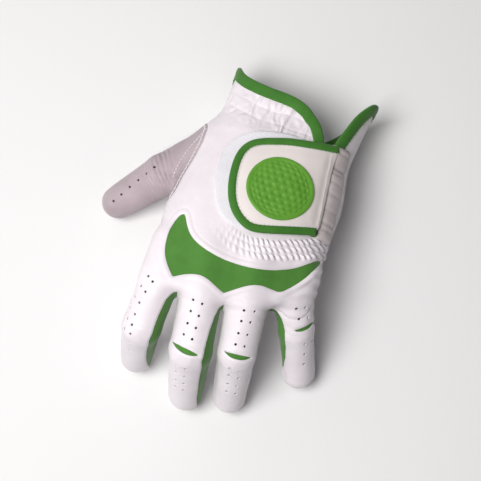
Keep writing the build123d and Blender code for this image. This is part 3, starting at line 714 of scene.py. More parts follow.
def vertex_normals(P, tri):
    n = np.cross(P[tri[:, 1]] - P[tri[:, 0]], P[tri[:, 2]] - P[tri[:, 0]])
    out = np.zeros_like(P)
    for k in range(3):
        np.add.at(out, tri[:, k], n)
    return unit(out)


NL = vertex_normals(VL, T[is_leather])
NG = vertex_normals(VG, T[~is_leather])
bad = np.abs(NL).sum(1) < 0.5
NL[bad] = N0[bad]
bad = np.abs(NG).sum(1) < 0.5
NG[bad] = N0[bad]


# ================================================================ materials
def nodes_of(name):
    m = bpy.data.materials.new(name)
    m.use_nodes = True
    nt = m.node_tree
    bsdf = next(n for n in nt.nodes if n.type == "BSDF_PRINCIPLED")
    coord = nt.nodes.new("ShaderNodeTexCoord")
    return m, nt, bsdf, coord.outputs["Object"]


def ramp(nt, source, stops):
    r = nt.nodes.new("ShaderNodeValToRGB")
    r.color_ramp.elements[0].position, r.color_ramp.elements[0].color = stops[0][0], (*stops[0][1], 1)
    r.color_ramp.elements[1].position, r.color_ramp.elements[1].color = stops[-1][0], (*stops[-1][1], 1)
    for pos, c in stops[1:-1]:
        e = r.color_ramp.elements.new(pos)
        e.color = (*c, 1)
    nt.links.new(source, r.inputs["Fac"])
    return r.outputs["Color"]


def tex(nt, kind, coord, scale, **kw):
    t = nt.nodes.new(kind)
    nt.links.new(coord, t.inputs["Vector"])
    t.inputs["Scale"].default_value = scale
    for k, v in kw.items():
        t.inputs[k].default_value = v
    return t


def bump_chain(nt, bsdf, heights):
    last = None
    for socket, strength, distance in heights:
        b = nt.nodes.new("ShaderNodeBump")
        b.inputs["Strength"].default_value = strength
        b.inputs["Distance"].default_value = distance
        nt.links.new(socket, b.inputs["Height"])
        if last is not None:
            nt.links.new(last, b.inputs["Normal"])
        last = b.outputs["Normal"]
    nt.links.new(last, bsdf.inputs["Normal"])


def leather(name, light, dark, rough=(0.42, 0.6), grain=0.22):
    m, nt, bsdf, co = nodes_of(name)
    patch = tex(nt, "ShaderNodeTexNoise", co, 55.0, Detail=4.0, Roughness=0.6)
    nt.links.new(ramp(nt, patch.outputs["Fac"], [(0.3, dark), (0.68, light)]), bsdf.inputs["Base Color"])
    pores = tex(nt, "ShaderNodeTexVoronoi", co, 1250.0)
    fine = tex(nt, "ShaderNodeTexNoise", co, 2300.0, Detail=3.0, Roughness=0.65)
    soft = tex(nt, "ShaderNodeTexNoise", co, 260.0, Detail=3.0, Roughness=0.55)
    r = nt.nodes.new("ShaderNodeMapRange")
    r.inputs["To Min"].default_value, r.inputs["To Max"].default_value = rough
    nt.links.new(soft.outputs["Fac"], r.inputs["Value"])
    nt.links.new(r.outputs["Result"], bsdf.inputs["Roughness"])
    bump_chain(nt, bsdf, [(soft.outputs["Fac"], 0.35, 0.00035), (pores.outputs["Distance"], grain, 0.00016),
                          (fine.outputs["Fac"], grain, 0.00010)])
    bsdf.inputs["Specular IOR Level"].default_value = 0.42
    bsdf.inputs["Sheen Weight"].default_value = 0.10
    bsdf.inputs["Sheen Roughness"].default_value = 0.5
    bsdf.inputs["Subsurface Weight"].default_value = 0.0
    return m


def knit(name, light, dark, thread=1500.0, strength=0.5, rough=0.78, sheen=0.35, angle=0.0):
    """Fine stretch knit: two crossing sets of threads with colour in the gaps."""
    m, nt, bsdf, co = nodes_of(name)
    mapping = nt.nodes.new("ShaderNodeMapping")
    mapping.inputs["Rotation"].default_value = (0.0, 0.0, angle)
    nt.links.new(co, mapping.inputs["Vector"])
    co = mapping.outputs["Vector"]
    waves = []
    for axis in ("X", "Y"):
        w = nt.nodes.new("ShaderNodeTexWave")
        w.bands_direction = axis
        nt.links.new(co, w.inputs["Vector"])
        w.inputs["Scale"].default_value = thread / 6.28
        w.inputs["Distortion"].default_value = 1.2
        w.inputs["Detail"].default_value = 1.0
        w.inputs["Detail Scale"].default_value = 2.0
        waves.append(w.outputs["Fac"])
    mul = nt.nodes.new("ShaderNodeMath")
    mul.operation = "MULTIPLY"
    nt.links.new(waves[0], mul.inputs[0])
    nt.links.new(waves[1], mul.inputs[1])
    patch = tex(nt, "ShaderNodeTexNoise", co, 90.0, Detail=5.0, Roughness=0.6)
    add_ = nt.nodes.new("ShaderNodeMath")
    add_.operation = "MULTIPLY_ADD"
    nt.links.new(mul.outputs[0], add_.inputs[0])
    add_.inputs[1].default_value = 0.35
    nt.links.new(patch.outputs["Fac"], add_.inputs[2])
    nt.links.new(ramp(nt, add_.outputs[0], [(0.32, dark), (0.82, light)]), bsdf.inputs["Base Color"])
    bump_chain(nt, bsdf, [(patch.outputs["Fac"], 0.25, 0.0004), (mul.outputs[0], strength, 0.00022)])
    bsdf.inputs["Roughness"].default_value = rough
    bsdf.inputs["Specular IOR Level"].default_value = 0.25
    bsdf.inputs["Sheen Weight"].default_value = sheen
    bsdf.inputs["Sheen Roughness"].default_value = 0.4
    return m


def plastic(name, light, dark, rough=0.4, scale=400.0, strength=0.12):
    m, nt, bsdf, co = nodes_of(name)
    patch = tex(nt, "ShaderNodeTexNoise", co, 120.0, Detail=4.0, Roughness=0.6)
    nt.links.new(ramp(nt, patch.outputs["Fac"], [(0.3, dark), (0.7, light)]), bsdf.inputs["Base Color"])
    fine = tex(nt, "ShaderNodeTexNoise", co, scale, Detail=3.0, Roughness=0.6)
    bump_chain(nt, bsdf, [(fine.outputs["Fac"], strength, 0.0002)])
    bsdf.inputs["Roughness"].default_value = rough
    bsdf.inputs["Specular IOR Level"].default_value = 0.4
    return m


M = {
    "white": leather("white_leather", (0.825, 0.772, 0.812), (0.755, 0.702, 0.742)),
    "tab": leather("tab_leather", (0.83, 0.765, 0.74), (0.78, 0.715, 0.695), (0.36, 0.5), 0.12),
    # painted shade: the rolled strip's white leather is coloured a dark grey for the shade on the side turned away from
    # the light
    "roll": leather("roll_leather_painted_shade", (0.60, 0.535, 0.535), (0.50, 0.44, 0.445), (0.40, 0.55), 0.2),
    # partly painted shade: the thumb's leather is a lilac grey, made darker still to stand in for the shade of a thumb
    # turned away from the light
    "thumb": leather("thumb_leather", (0.475, 0.398, 0.425), (0.375, 0.308, 0.335), (0.45, 0.62), 0.3),
    "green": knit("green_stretch", (0.084, 0.250, 0.040), (0.058, 0.185, 0.028), 2600.0, 0.35),
    # painted shade: the binding's green is a darker copy of the stretch knit's green, standing in for the shade on the
    # folded binding
    "binding": knit("green_binding", (0.060, 0.215, 0.028), (0.034, 0.140, 0.016), 2400.0, 0.4, 0.7, 0.25, 0.6),
    "loop": knit("loop_pile", (0.82, 0.81, 0.85), (0.74, 0.73, 0.775), 2100.0, 0.7, 0.95, 0.3),
    "hook": plastic("hook_nylon", (0.52, 0.53, 0.56), (0.36, 0.37, 0.40), 0.5, 1500.0, 1.0),
    "emblem": plastic("emblem_green", (0.135, 0.36, 0.040), (0.105, 0.31, 0.030), 0.42),
    "lining": knit("white_lining", (0.80, 0.79, 0.80), (0.68, 0.66, 0.68), 1300.0, 0.5, 0.9, 0.2),
    "elastic": knit("white_elastic", (0.80, 0.80, 0.81), (0.66, 0.66, 0.68), 900.0, 0.8, 0.85, 0.2),
    "thread": knit("white_thread", (0.86, 0.84, 0.85), (0.70, 0.68, 0.70), 2600.0, 0.5, 0.8, 0.2),
    "green_thread": knit("green_thread", (0.10, 0.33, 0.04), (0.05, 0.2, 0.02), 2600.0, 0.5, 0.8, 0.2),
    "label": knit("label_woven", (0.80, 0.80, 0.80), (0.7, 0.7, 0.71), 2200.0, 0.5, 0.8, 0.2),
}


# ================================================================ objects
def make(name, P, F, mat, normals=None, body=None):
    """A mesh object from points in mm and faces (arrays or lists of corner indices)."""
    me = bpy.data.meshes.new(name)
    pts = (np.asarray(P) + SHIFT) / 1000.0
    if isinstance(F, np.ndarray):
        me.vertices.add(len(pts))
        me.vertices.foreach_set("co", pts.astype(np.float32).ravel())
        me.loops.add(F.size)
        me.loops.foreach_set("vertex_index", F.astype(np.int32).ravel())
        me.polygons.add(len(F))
        k = F.shape[1]
        me.polygons.foreach_set("loop_start", (np.arange(len(F)) * k).astype(np.int32))
        me.polygons.foreach_set("loop_total", np.full(len(F), k, np.int32))
    else:
        me.from_pydata(pts.tolist(), [], F)
    me.update(calc_edges=True)
    me.validate()
    me.shade_smooth()
    if normals is not None and len(normals) == len(me.vertices):
        me.normals_split_custom_set_from_vertices(normals.tolist())
    ob = bpy.data.objects.new(name, me)
    bpy.context.scene.collection.objects.link(ob)
    me.materials.append(M[mat])
    if body:
        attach(ob, body)
    return ob


def boundary(tri):
    """Edges used by one triangle only, in that triangle's direction."""
    e = np.concatenate([tri[:, [0, 1]], tri[:, [1, 2]], tri[:, [2, 0]]])
    key = np.sort(e, 1)
    k = key[:, 0] * (tri.max() + 1) + key[:, 1]
    _, first, count = np.unique(k, return_index=True, return_counts=True)
    return e[first[count == 1]]


leather_edges = boundary(T[is_leather])
edge_keys = set(map(tuple, np.sort(leather_edges, 1).tolist()))


def out_dirs(P, Nn, edges):
    """For each boundary vertex, the direction in the surface that leaves it."""
    acc = np.zeros_like(P)
    o = unit(np.cross(P[edges[:, 1]] - P[edges[:, 0]], Nn[edges[:, 0]]))
    np.add.at(acc, edges[:, 0], o)
    np.add.at(acc, edges[:, 1], o)
    return unit(acc)


OUT = out_dirs(VL, NL, leather_edges)


def skin_piece(name, tri, P, Nn, mat, skirt=False, depth=0.95):
    """The triangles as one piece; with a turned-in edge of the leather's thickness where it ends."""
    ids = np.unique(tri)
    mp = np.full(len(P), -1)
    mp[ids] = np.arange(len(ids))
    pts, nor, faces = [P[ids]], [Nn[ids]], [mp[tri]]
    if skirt:
        e = boundary(tri)
        real = np.array([tuple(sorted(x)) in edge_keys for x in e.tolist()], bool) if len(e) else np.zeros(0, bool)
        e = e[real]
        if len(e):
            rim = np.unique(e)
            mr = np.full(len(P), -1)
            base = len(ids)
            rings = [(0.0, 0.0, 0.75), (0.16, 0.22, 0.0), (0.05, depth, -0.3)]
            for k, (o, down, tilt) in enumerate(rings):
                pts.append(P[rim] + OUT[rim] * o - N0[rim] * down)
                nor.append(unit(OUT[rim] + Nn[rim] * tilt))
            mr[rim] = np.arange(len(rim))
            n = len(rim)
            a, b = mr[e[:, 0]], mr[e[:, 1]]
            for k in range(len(rings) - 1):
                u0, u1 = base + k * n + a, base + k * n + b
                l0, l1 = base + (k + 1) * n + a, base + (k + 1) * n + b
                faces.append(np.stack([u1, u0, l0], 1))
                faces.append(np.stack([u1, l0, l1], 1))
    return make(name, np.concatenate(pts), np.concatenate(faces), mat, np.concatenate(nor))


def mm(p):
    return tuple((np.asarray(p) + SHIFT) / 1000.0)


def pick(lab):
    return T[label == lab]


hand_back = skin_piece("back_leather", pick("back_leather"), VL, NL, "white", True)
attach(hand_back, "hand")
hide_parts("back_panel")
hand_palm = skin_piece("palm_leather", pick("palm_leather"), VL, NL, "white", True)
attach(hand_palm, "hand")
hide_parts("palm_panel")
knuckle = skin_piece("knuckle_stretch_panel_knit", pick("knuckle_panel"), VG, NG, "green")
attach(knuckle, "hand")
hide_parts("knuckle_stretch_panel")
if (label == "web_gusset").any():
    web = skin_piece("web_gussets", pick("web_gusset"), VG, NG, "green")
    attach(web, "hand")

# inside face of the hand, seen through the wrist opening
inner = np.isin(label, ["back_leather", "palm_leather", "knuckle_panel", "web_gusset"])
lining = skin_piece("hand_lining", T[inner][:, ::-1], V - N0 * 1.05, -N0, "lining")
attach(lining, "hand")

thumb = skin_piece("thumb_leather", pick("thumb_leather"), VL, NL, "thumb", True)
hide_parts("thumb_root_panel", "thumb_tip_back", "thumb_tip_palm")
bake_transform(thumb)

STRIPS = {"index": ["back", "gusset_outer", "palm"], "middle": ["back", "gusset_outer", "palm", "gusset_inner"],
          "ring": ["back", "gusset_outer", "palm", "gusset_inner"], "little": ["back", "palm", "gusset_inner"]}


def cross(ob, name, joint):
    """Bakes a finished piece's transform into its mesh, alike for the finger's knuckle and middle joint."""
    if joint == "root":
        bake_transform(ob)
    else:
        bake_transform(ob)


for n in NAMES:
    f = FINGERS[n]
    for part, joint, where in (("base", "root", "base"), ("tip", "mid", "tip")):
        ob = skin_piece(f"{n}_{part}_leather", pick(f"{n}_{part}"), VL, NL, "white", True)
        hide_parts(*[f"{n}_{where}_{s}" for s in STRIPS[n] if "gusset" not in s])
        cross(ob, n, joint)
        tri = pick(f"{n}_{part}_gusset")
        if len(tri):
            ob = skin_piece(f"{n}_{part}_gusset", tri, VG, NG, "green")
            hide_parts(*[f"{n}_{where}_{s}" for s in STRIPS[n] if "gusset" in s])
            cross(ob, n, joint)
    if n in CRESCENTS:
        ob = skin_piece(f"{n}_flex_crescent", pick(n + "_crescent"), VG, NG, "green")
        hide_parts(n + "_flex_insert")
        cross(ob, n, "mid")


# ---------------------------------------------------------------- bindings along the open edge
def chain(edges):
    """Order directed boundary edges into loops."""
    nxt = {}
    for a, b in edges.tolist():
        nxt.setdefault(a, []).append(b)
    loops = []
    while nxt:
        start = next(iter(nxt))
        loop, cur = [start], start
        while cur in nxt:
            b = nxt[cur].pop()
            if not nxt[cur]:
                del nxt[cur]
            cur = b
            if cur == start:
                break
            loop.append(cur)
        loops.append(loop)
    return loops


def resample(p, step, closed):
    q = np.concatenate([p, p[:1]]) if closed else p
    L = np.concatenate([[0], np.cumsum(np.linalg.norm(np.diff(q, axis=0), axis=1))])
    n = max(int(round(L[-1] / step)), 4)
    t = np.linspace(0, L[-1], n + 1)
    r = np.stack([np.interp(t, L, q[:, k]) for k in range(3)], 1)
    return r[:-1] if closed else r


def relax(p, times, closed):
    for _ in range(times):
        if closed:
            p = 0.5 * p + 0.25 * (np.roll(p, 1, 0) + np.roll(p, -1, 0))
        else:
            q = p.copy()
            q[1:-1] = 0.5 * p[1:-1] + 0.25 * (p[2:] + p[:-2])
            p = q
    return p


def tangents(p, closed):
    if closed:
        return unit(np.roll(p, -1, 0) - np.roll(p, 1, 0))
    t = np.empty_like(p)
    t[1:-1] = p[2:] - p[:-2]
    t[0], t[-1] = p[1] - p[0], p[-1] - p[-2]
    return unit(t)


def band(path, inward, width, high, low, closed, f=glove_f, lift=0.0, steps=15, power=2.6, edge=0.0, pucker=None):
    """A soft folded strip lying on the skin: path is its outer edge, inward the way to its other edge."""
    rows, nor = [], []
    us = np.linspace(0, 1, steps)
    us = 0.5 - 0.5 * np.cos(np.pi * us)
    base, nrm = [], []
    p = path + inward * edge
    step_w = np.diff(us, prepend=0) * width
    direction = inward
    for w in step_w:
        p = p + direction * w
        p = project(f, p, 2)
        nn = unit(grad(f, p))
        direction = unit(direction - (direction * nn).sum(1)[:, None] * nn)
        base.append(p)
        nrm.append(nn)
    prof = np.maximum(1 - np.abs(2 * us - 1) ** power, 0) ** (1 / 2.2)
    k = 1.0 if pucker is None else pucker[:, None]
    top = [b + n * (lift + high * h * k) for b, n, h in zip(base, nrm, prof)]
    bot = [b + n * (lift - low * (0.45 + 0.55 * h)) for b, n, h in zip(base, nrm, prof)]
    ring = np.stack(top + bot[::-1], 1)
    n, m = ring.shape[:2]
    idx = np.arange(n * m).reshape(n, m)
    a = idx if closed else idx[:-1]
    b = np.roll(idx, -1, 0) if closed else idx[1:]
    F = np.stack([a, b, np.roll(b, -1, 1), np.roll(a, -1, 1)], -1).reshape(-1, 4)
    pts = ring.reshape(-1, 3)
    if not closed:
        caps = [idx[0][::1].tolist(), idx[-1][::-1].tolist()]
        return pts, [q for q in F.tolist()] + caps
    return pts, F


def flip_if_needed(P, F):
    """Faces turned so that the closed mesh's volume is positive."""
    vol = 0.0
    for q in (F.tolist() if isinstance(F, np.ndarray) else F):
        for k in range(1, len(q) - 1):
            vol += np.dot(P[q[0]], np.cross(P[q[k]], P[q[k + 1]]))
    if vol < 0:
        return F[:, ::-1] if isinstance(F, np.ndarray) else [q[::-1] for q in F]
    return F


rim_edges = boundary(RIM_T)
rim_edges = rim_edges[(np.abs(rim_g(RIM_V))[rim_edges] < 0.08).all(1)]
loops = sorted(chain(rim_edges), key=len)
rim = RIM_V[loops[-1]]
rim = relax(resample(rim, 0.9, True), 3, True)
rim = project(glove_f, rim, 2)
tan = tangents(rim, True)
nrm = unit(grad(glove_f, rim))
inward = unit(np.cross(nrm, tan))
if np.mean(rim_g(rim + inward * 1.5) - rim_g(rim)) < 0:
    inward = -inward
inward = relax(inward, 10, True)
inward = unit(inward - (inward * nrm).sum(1)[:, None] * nrm)
wide = 6.1
P_, F_ = band(rim, inward, wide, 0.95, 1.9, True, edge=-0.6)
F_ = flip_if_needed(P_, F_)
binding = make("cuff_binding", P_, F_, "binding")
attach(binding, "hand")
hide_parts("cuff_binding_back", "cuff_binding_palm")


def stitches(name, path, nrm, closed, pitch, length, radius, mat, body, lift, skip=None, zigzag=0.0):
    """A run of separate thread stitches lying along a path."""
    p = resample(path, pitch, closed)
    if skip is not None:
        p = p[~skip(p)]
    p = project(nrm, p, 2)
    n = unit(grad(nrm, p))
    t = tangents(p, closed)
    b = unit(np.cross(n, t))
    P, F = [], []
    k = 6
    if zigzag:
        turn = np.where(np.arange(len(p)) % 2, 1.0, -1.0)[:, None] * zigzag
        t, b = unit(t + b * turn), unit(b - t * turn)
    for c, n_, t_, b_ in zip(p, n, t, b):
        start = len(P)
        for u, r, h in ((-0.5, 0.35, -0.12), (-0.32, 0.9, 0.0), (0.0, 1.0, 0.05), (0.32, 0.9, 0.0), (0.5, 0.35, -0.12)):
            for j in range(k):
                a = 2 * math.pi * j / k
                P.append(c + t_ * u * length + n_ * (lift + h + radius * r * math.sin(a)) + b_ * radius * r * 1.15 * math.cos(a))
        for i in range(4):
            for j in range(k):
                F.append([start + i * k + j, start + i * k + (j + 1) % k, start + (i + 1) * k + (j + 1) % k, start + (i + 1) * k + j])
        F.append([start + j for j in range(k)][::-1])
        F.append([start + 4 * k + j for j in range(k)])
    ob = make(name, np.array(P), F, mat)
    if body:
        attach(ob, body)
    return ob


# stitch run on the binding, just in from its inner edge
line = project(glove_f, rim + inward * 5.1, 2)
top_side = lambda p: (seam_g(p) > -40) & ~((p[:, 0] > 25) & (p[:, 0] < 38) & (p[:, 1] < 60) & (p[:, 2] > 36))
stitches("cuff_stitches", line, glove_f, True, 2.5, 1.8, 0.17, "green_thread", "hand", 0.86,
         skip=lambda p: ~top_side(p))

# ---------------------------------------------------------------- the tab
tab_mid = chaikin([(34.4, 57.4), (26.9, 55.7), (19.0, 53.9), (9.4, 51.8), (3.0, 50.0), (-4.0, 47.4), (-8.0, 44.7),
                   (-10.7, 41.4), (-12.3, 37.0), (-12.5, 30.0), (-11.4, 21.6), (-9.6, 15.3), (-7.0, 10.2), (-4.0, 6.7),
                   (-0.4, 4.1), (3.8, 2.6), (8.4, 3.0), (17.2, 5.7), (26.4, 9.0), (32.0, 11.2), (36.2, 13.0),
                   (35.8, 20.0), (34.4, 36.0), (33.0, 50.0)], 2)


def on_top(xy):
    z = top_z(xy[:, 0], xy[:, 1], glove_f)
    p = np.concatenate([xy, z[:, None]], 1)
    return p, unit(grad(glove_f, p))


def sheet_mesh(poly, h, margin=1.0):
    lo, hi = poly.min(0) - margin, poly.max(0) + margin
    xs, ys = np.arange(lo[0], hi[0] + h, h), np.arange(lo[1], hi[1] + h, h)
    X, Y = np.meshgrid(xs, ys, indexing="ij")
    P = np.stack([X.ravel(), Y.ravel(), np.zeros(X.size)], 1)
    idx = np.arange(X.size).reshape(X.shape)
    a, b, c, d = idx[:-1, :-1].ravel(), idx[1:, :-1].ravel(), idx[1:, 1:].ravel(), idx[:-1, 1:].ravel()
    F = np.concatenate([np.stack([a, b, c], 1), np.stack([a, c, d], 1)])
    P, F = split(P, F, poly_sd(P[:, :2], poly), 0.05)
    F = F[poly_sd(P[F].mean(1)[:, :2], poly) > 0]
    ids = np.unique(F)
    mp = np.full(len(P), -1)
    mp[ids] = np.arange(len(ids))
    return P[ids][:, :2], mp[F]


def slab(name, poly, h, low, high, mat, relief_=None, body="closure_tab"):
    """A closed padded sheet over the hand between two heights above the skin, rounded at its edge."""
    xy, F = sheet_mesh(poly, h)
    base, n = on_top(xy)
    sd = poly_sd(xy, poly)
    edge = np.sqrt(np.clip(1 - (1 - np.clip(sd / 1.2, 0, 1)) ** 2, 0, 1))
    half, mean = (high - low) / 2, (high + low) / 2
    extra = relief_(base, sd) if relief_ is not None else 0.0
    up = base + n * (mean + half * (0.25 + 0.75 * edge) + extra * edge)[:, None]
    dn = base + n * (mean - half * (0.25 + 0.75 * edge))[:, None]
    e = boundary(F)
    m = len(xy)
    sides = np.concatenate([np.stack([e[:, 1], e[:, 0], e[:, 0] + m], 1), np.stack([e[:, 1], e[:, 0] + m, e[:, 1] + m], 1)])
    faces = np.concatenate([F, F[:, ::-1] + m, sides])
    ob = make(name, np.concatenate([up, dn]), faces, mat)
    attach(ob, body)
    return ob


def tab_relief(p, sd):
    swell = 0.55 * smooth(sd, 0.5, 7.0)
    wave = 0.18 * noise(p, 11.0, 3.9) + 0.07 * noise(p, 5.0, 6.4)
    # lines of stitching that hold the lining, near the tab's root
    root = p[:, 0] - np.interp(p[:, 1], [12, 58], [33.6, 29.6])
    return swell + wave - 0.25 * bump(root, 1.2)


TAB_H = (1.55, 2.75)
tab = slab("tab_face_leather", tab_mid, 0.8, TAB_H[0], TAB_H[1], "tab", tab_relief, "closure_tab")
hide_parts("tab_face", "tab_lining")
hook_poly = chaikin([(22.0, 48.5), (0.5, 43.5), (-5.0, 39.0), (-6.5, 30.0), (-4.5, 19.0), (0.5, 11.0), (8.0, 9.5), (22.0, 13.5)], 2)
hook = slab("hook_pad_pile", hook_poly, 1.0, 1.05, 1.5, "hook", None, "closure_tab")
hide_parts("hook_pad")


def tab_edge(xy_line, inset):
    p, n = on_top(xy_line)
    t = tangents(p, False)
    w = unit(np.cross(n, t))
    c = a3(12, 28, 50)
    if np.mean(((c - p) * w).sum(1)) < 0:
        w = -w
    return p, n, w


edge_xy = resample(np.concatenate([TAB_OUT, np.zeros((len(TAB_OUT), 1))], 1), 0.9, False)[:, :2]
p, n, w = tab_edge(edge_xy, 0)
rows = []
us = np.linspace(0, 2 * math.pi, 18, endpoint=False)
ends = np.ones(len(p))
ring = []
for k, a in enumerate(us):
    c_, s_ = math.cos(a), math.sin(a)
    x_ = 1.9 + 2.15 * math.copysign(abs(c_) ** 0.8, c_)
    y_ = 2.35 + 1.12 * math.copysign(abs(s_) ** 0.8, s_)
    q = p + w * x_
    zz = top_z(q[:, 0], q[:, 1], glove_f)
    ring.append(np.stack([q[:, 0], q[:, 1], zz], 1) + n * y_)
ring = np.stack(ring, 1)
nn, mm_ = ring.shape[:2]
idx = np.arange(nn * mm_).reshape(nn, mm_)
F_ = np.stack([idx[:-1], idx[1:], np.roll(idx[1:], -1, 1), np.roll(idx[:-1], -1, 1)], -1).reshape(-1, 4).tolist()
F_ += [idx[0].tolist(), idx[-1][::-1].tolist()]
P_ = ring.reshape(-1, 3)
tab_bind = make("tab_binding_fold", P_, flip_if_needed(P_, F_), "binding")
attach(tab_bind, "closure_tab")
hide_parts("tab_binding")
line = p + w * 3.35
stitches("tab_stitches", p + w * 3.95, glove_f, False, 1.05, 1.15, 0.15, "thread", "closure_tab", 3.02, zigzag=0.8)

side_line = np.array([(34.7, 14.0), (33.9, 22.0), (32.7, 32.0), (31.6, 42.0), (30.6, 53.5)])
p_, n_ = on_top(resample(np.concatenate([side_line, np.zeros((5, 1))], 1), 1.0, False)[:, :2])
stitches("tab_side_stitches", p_, glove_f, False, 1.2, 1.2, 0.14, "thread", "closure_tab", 3.3, zigzag=0.7)

# emblem: a round moulded patch with a golf ball's dimples
EC, ER = (11.8, 26.2), 16.8
nr, na = 46, 150
rad = np.concatenate([np.linspace(0.25, ER - 0.5, nr - 5), ER - 0.5 + 0.5 * np.sin(np.linspace(0.3, math.pi / 2, 5))])
ang = np.linspace(0, 2 * math.pi, na, endpoint=False)
X = EC[0] + rad[:, None] * np.cos(ang)
Y = EC[1] + rad[:, None] * np.sin(ang)
xy = np.stack([X.ravel(), Y.ravel()], 1)
base, n = on_top(xy)
sd = poly_sd(base[:, :2], tab_mid)
lift = TAB_H[1] + tab_relief(base, sd)
r_ = np.repeat(rad, na)
px, py = (xy[:, 0] - EC[0]), (xy[:, 1] - EC[1])
# dimples on a hexagonal grid that closes up towards the rim, as on a ball
fold = ER / 1.12
rho = np.clip(np.hypot(px, py) / fold, 1e-6, 0.999)
k_ = np.arcsin(np.clip(rho * 0.98, 0, 0.98)) / rho
ux, uy = px / fold * k_ * 10.0, py / fold * k_ * 10.0
pitch = 2.75
a_ = ux / pitch
b_ = uy / (pitch * math.sqrt(3) / 2)


def hex_dist(x, y, s):
    best = np.full(len(x), 1e9)
    row = np.round(y / (s * math.sqrt(3) / 2))
    for dr in (-1, 0, 1):
        r = row + dr
        cy = r * s * math.sqrt(3) / 2
        shift = np.where(np.mod(r, 2) == 1, s / 2, 0)
        cx = np.round((x - shift) / s) * s + shift
        best = np.minimum(best, np.hypot(x - cx, y - cy))
    return best


hd = hex_dist(ux, uy, pitch)
dimple = 0.36 * (1 - smooth(hd, 0.35, 1.05)) * (1 - smooth(r_, ER - 2.6, ER - 2.0))
rim_up = 0.22 * smooth(r_, ER - 1.9, ER - 1.5) * (1 - smooth(r_, ER - 0.3, ER))
height = lift + 0.55 - dimple + rim_up
height = np.where(r_ > ER - 0.5, lift + 0.55 * np.sqrt(np.clip(1 - ((r_ - ER + 0.5) / 0.5) ** 2, 0, 1)) + rim_up, height)
top = base + n * height[:, None]
idx = np.arange(nr * na).reshape(nr, na)
F_ = np.stack([idx[:-1], idx[1:], np.roll(idx[1:], -1, 1), np.roll(idx[:-1], -1, 1)], -1).reshape(-1, 4)
F_ = F_.tolist() + [idx[0].tolist()]
under = base[idx[-1]] + n[idx[-1]] * (lift[idx[-1]] - 0.1)[:, None]
P_ = np.concatenate([top, under])
m0 = nr * na
F_ += [[int(idx[-1][j]), m0 + j, m0 + (j + 1) % na, int(idx[-1][(j + 1) % na])] for j in range(na)]
F_.append([m0 + j for j in range(na)][::-1])
emblem = make("tab_emblem_patch", P_, flip_if_needed(P_, F_), "emblem")
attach(emblem, "closure_tab")
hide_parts("tab_emblem")
ring_xy = np.stack([EC[0] + (ER - 1.1) * np.cos(ang), EC[1] + (ER - 1.1) * np.sin(ang)], 1)

# ---------------------------------------------------------------- loop pad under the tab
loop = slab("loop_pad_pile", LOOP_PAD, 1.0, -0.10, 0.52, "loop", lambda p, sd: 0.04 * noise(p, 1.6, 2.0), "hand")
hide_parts("loop_pad")

# ---------------------------------------------------------------- white rolled strip where the tab is sewn on, coloured grey as painted shade
strip_xy = chaikin([(31.6, 61.0), (32.9, 50.0), (34.6, 36.0), (36.2, 22.0), (37.4, 9.5)], 2, False)
strip_xy = resample(np.concatenate([strip_xy, np.zeros((len(strip_xy), 1))], 1), 0.7, False)[:, :2]
p, n = on_top(strip_xy)
t = tangents(p, False)
w = unit(np.cross(n, t))
if np.mean(w[:, 0]) < 0:
    w = -w
run = np.concatenate([[0], np.cumsum(np.linalg.norm(np.diff(p, axis=0), axis=1))])
puck = 1 + 0.12 * noise(p, 6.0, 1.0) + 0.06 * noise(p, 2.2, 5.0)
for at_, deep_, wide_ in ((4.0, 0.22, 0.8), (12.6, 0.42, 1.0), (15.2, 0.30, 0.8), (20.5, 0.16, 1.0), (27.5, 0.20, 1.2), (36.0, 0.16, 0.9), (43.5, 0.34, 1.0), (46.6, 0.36, 1.1)):
    puck = puck - deep_ * bump(run - at_, wide_)
endf = np.sqrt(np.clip(np.minimum(run, run[-1] - run) / 2.0, 0.02, 1))
P_, F_ = band(p, w, 12.0, 2.7, 0.2, False, lift=0.15, steps=17, power=2.4, edge=-0.7, pucker=puck * endf)
roll = make("tab_root_roll", P_, flip_if_needed(P_, F_), "roll")
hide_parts("tab_root_strip")
j = JOINTS["tab_lift"]
ax = np.array(j["axis"])
wx = a3(1, 0, 0) - ax * ax[0]
wx = wx / np.linalg.norm(wx)
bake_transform(roll)

# zig-zag seam between the thumb's leather and the back
seam = THUMB_LINE[(THUMB_LINE[:, 1] > 7) & (THUMB_LINE[:, 1] < 60)]
seam = resample(np.concatenate([seam, np.zeros((len(seam), 1))], 1), 1.0, False)
seam[:, 2] = top_z(seam[:, 0], seam[:, 1], glove_f, 24.0, 70.0)
stitches("thumb_seam_stitches", seam - a3(2.3, 0, 0), glove_f, False, 1.25, 1.9, 0.25, "thread", "hand", 0.16, zigzag=0.95)
ridge = resample(a3((-35.4, 50.0, 38.0), (-38.0, 42.6, 38.0), (-40.6, 35.2, 37.0), (-42.6, 28.0, 35.2), (-43.6, 21.5, 33.0)).reshape(-1, 3), 1.0, False)
stitches("thumb_ridge_stitches", ridge, glove_f, False, 1.9, 1.35, 0.24, "thread", "hand", 0.20)

# ---------------------------------------------------------------- inside: elastic bands and a blank label
def inner_band(name, line_xy, width, node, mat, top=True, ribs=0.22):
    q = resample(np.concatenate([chaikin(line_xy, 2, False), np.zeros((4 * len(line_xy), 1))[:len(chaikin(line_xy, 2, False))]], 1), 0.8, False)[:, :2]
    if top:
        z = top_z(q[:, 0], q[:, 1], glove_f)
    else:
        z = -top_z(q[:, 0], q[:, 1], lambda r: glove_f(r * a3(1, 1, -1)), -34.0, 20.0)
    p = np.concatenate([q, z[:, None]], 1)
    t = tangents(p, False)
    n = unit(grad(glove_f, p))
    w = unit(np.cross(n, t))
    run = np.concatenate([[0], np.cumsum(np.linalg.norm(np.diff(p, axis=0), axis=1))])
    P_, F_ = band(p, w, width, 0.30, 0.30, False, lift=-1.55, steps=9, power=6.0, edge=-width / 2,
                  pucker=1 + ribs * np.sin(run * 2 * math.pi / 2.2))
    ob = make(name, P_, flip_if_needed(P_, F_), mat)
    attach(ob, "hand")
    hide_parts(node)
    return ob


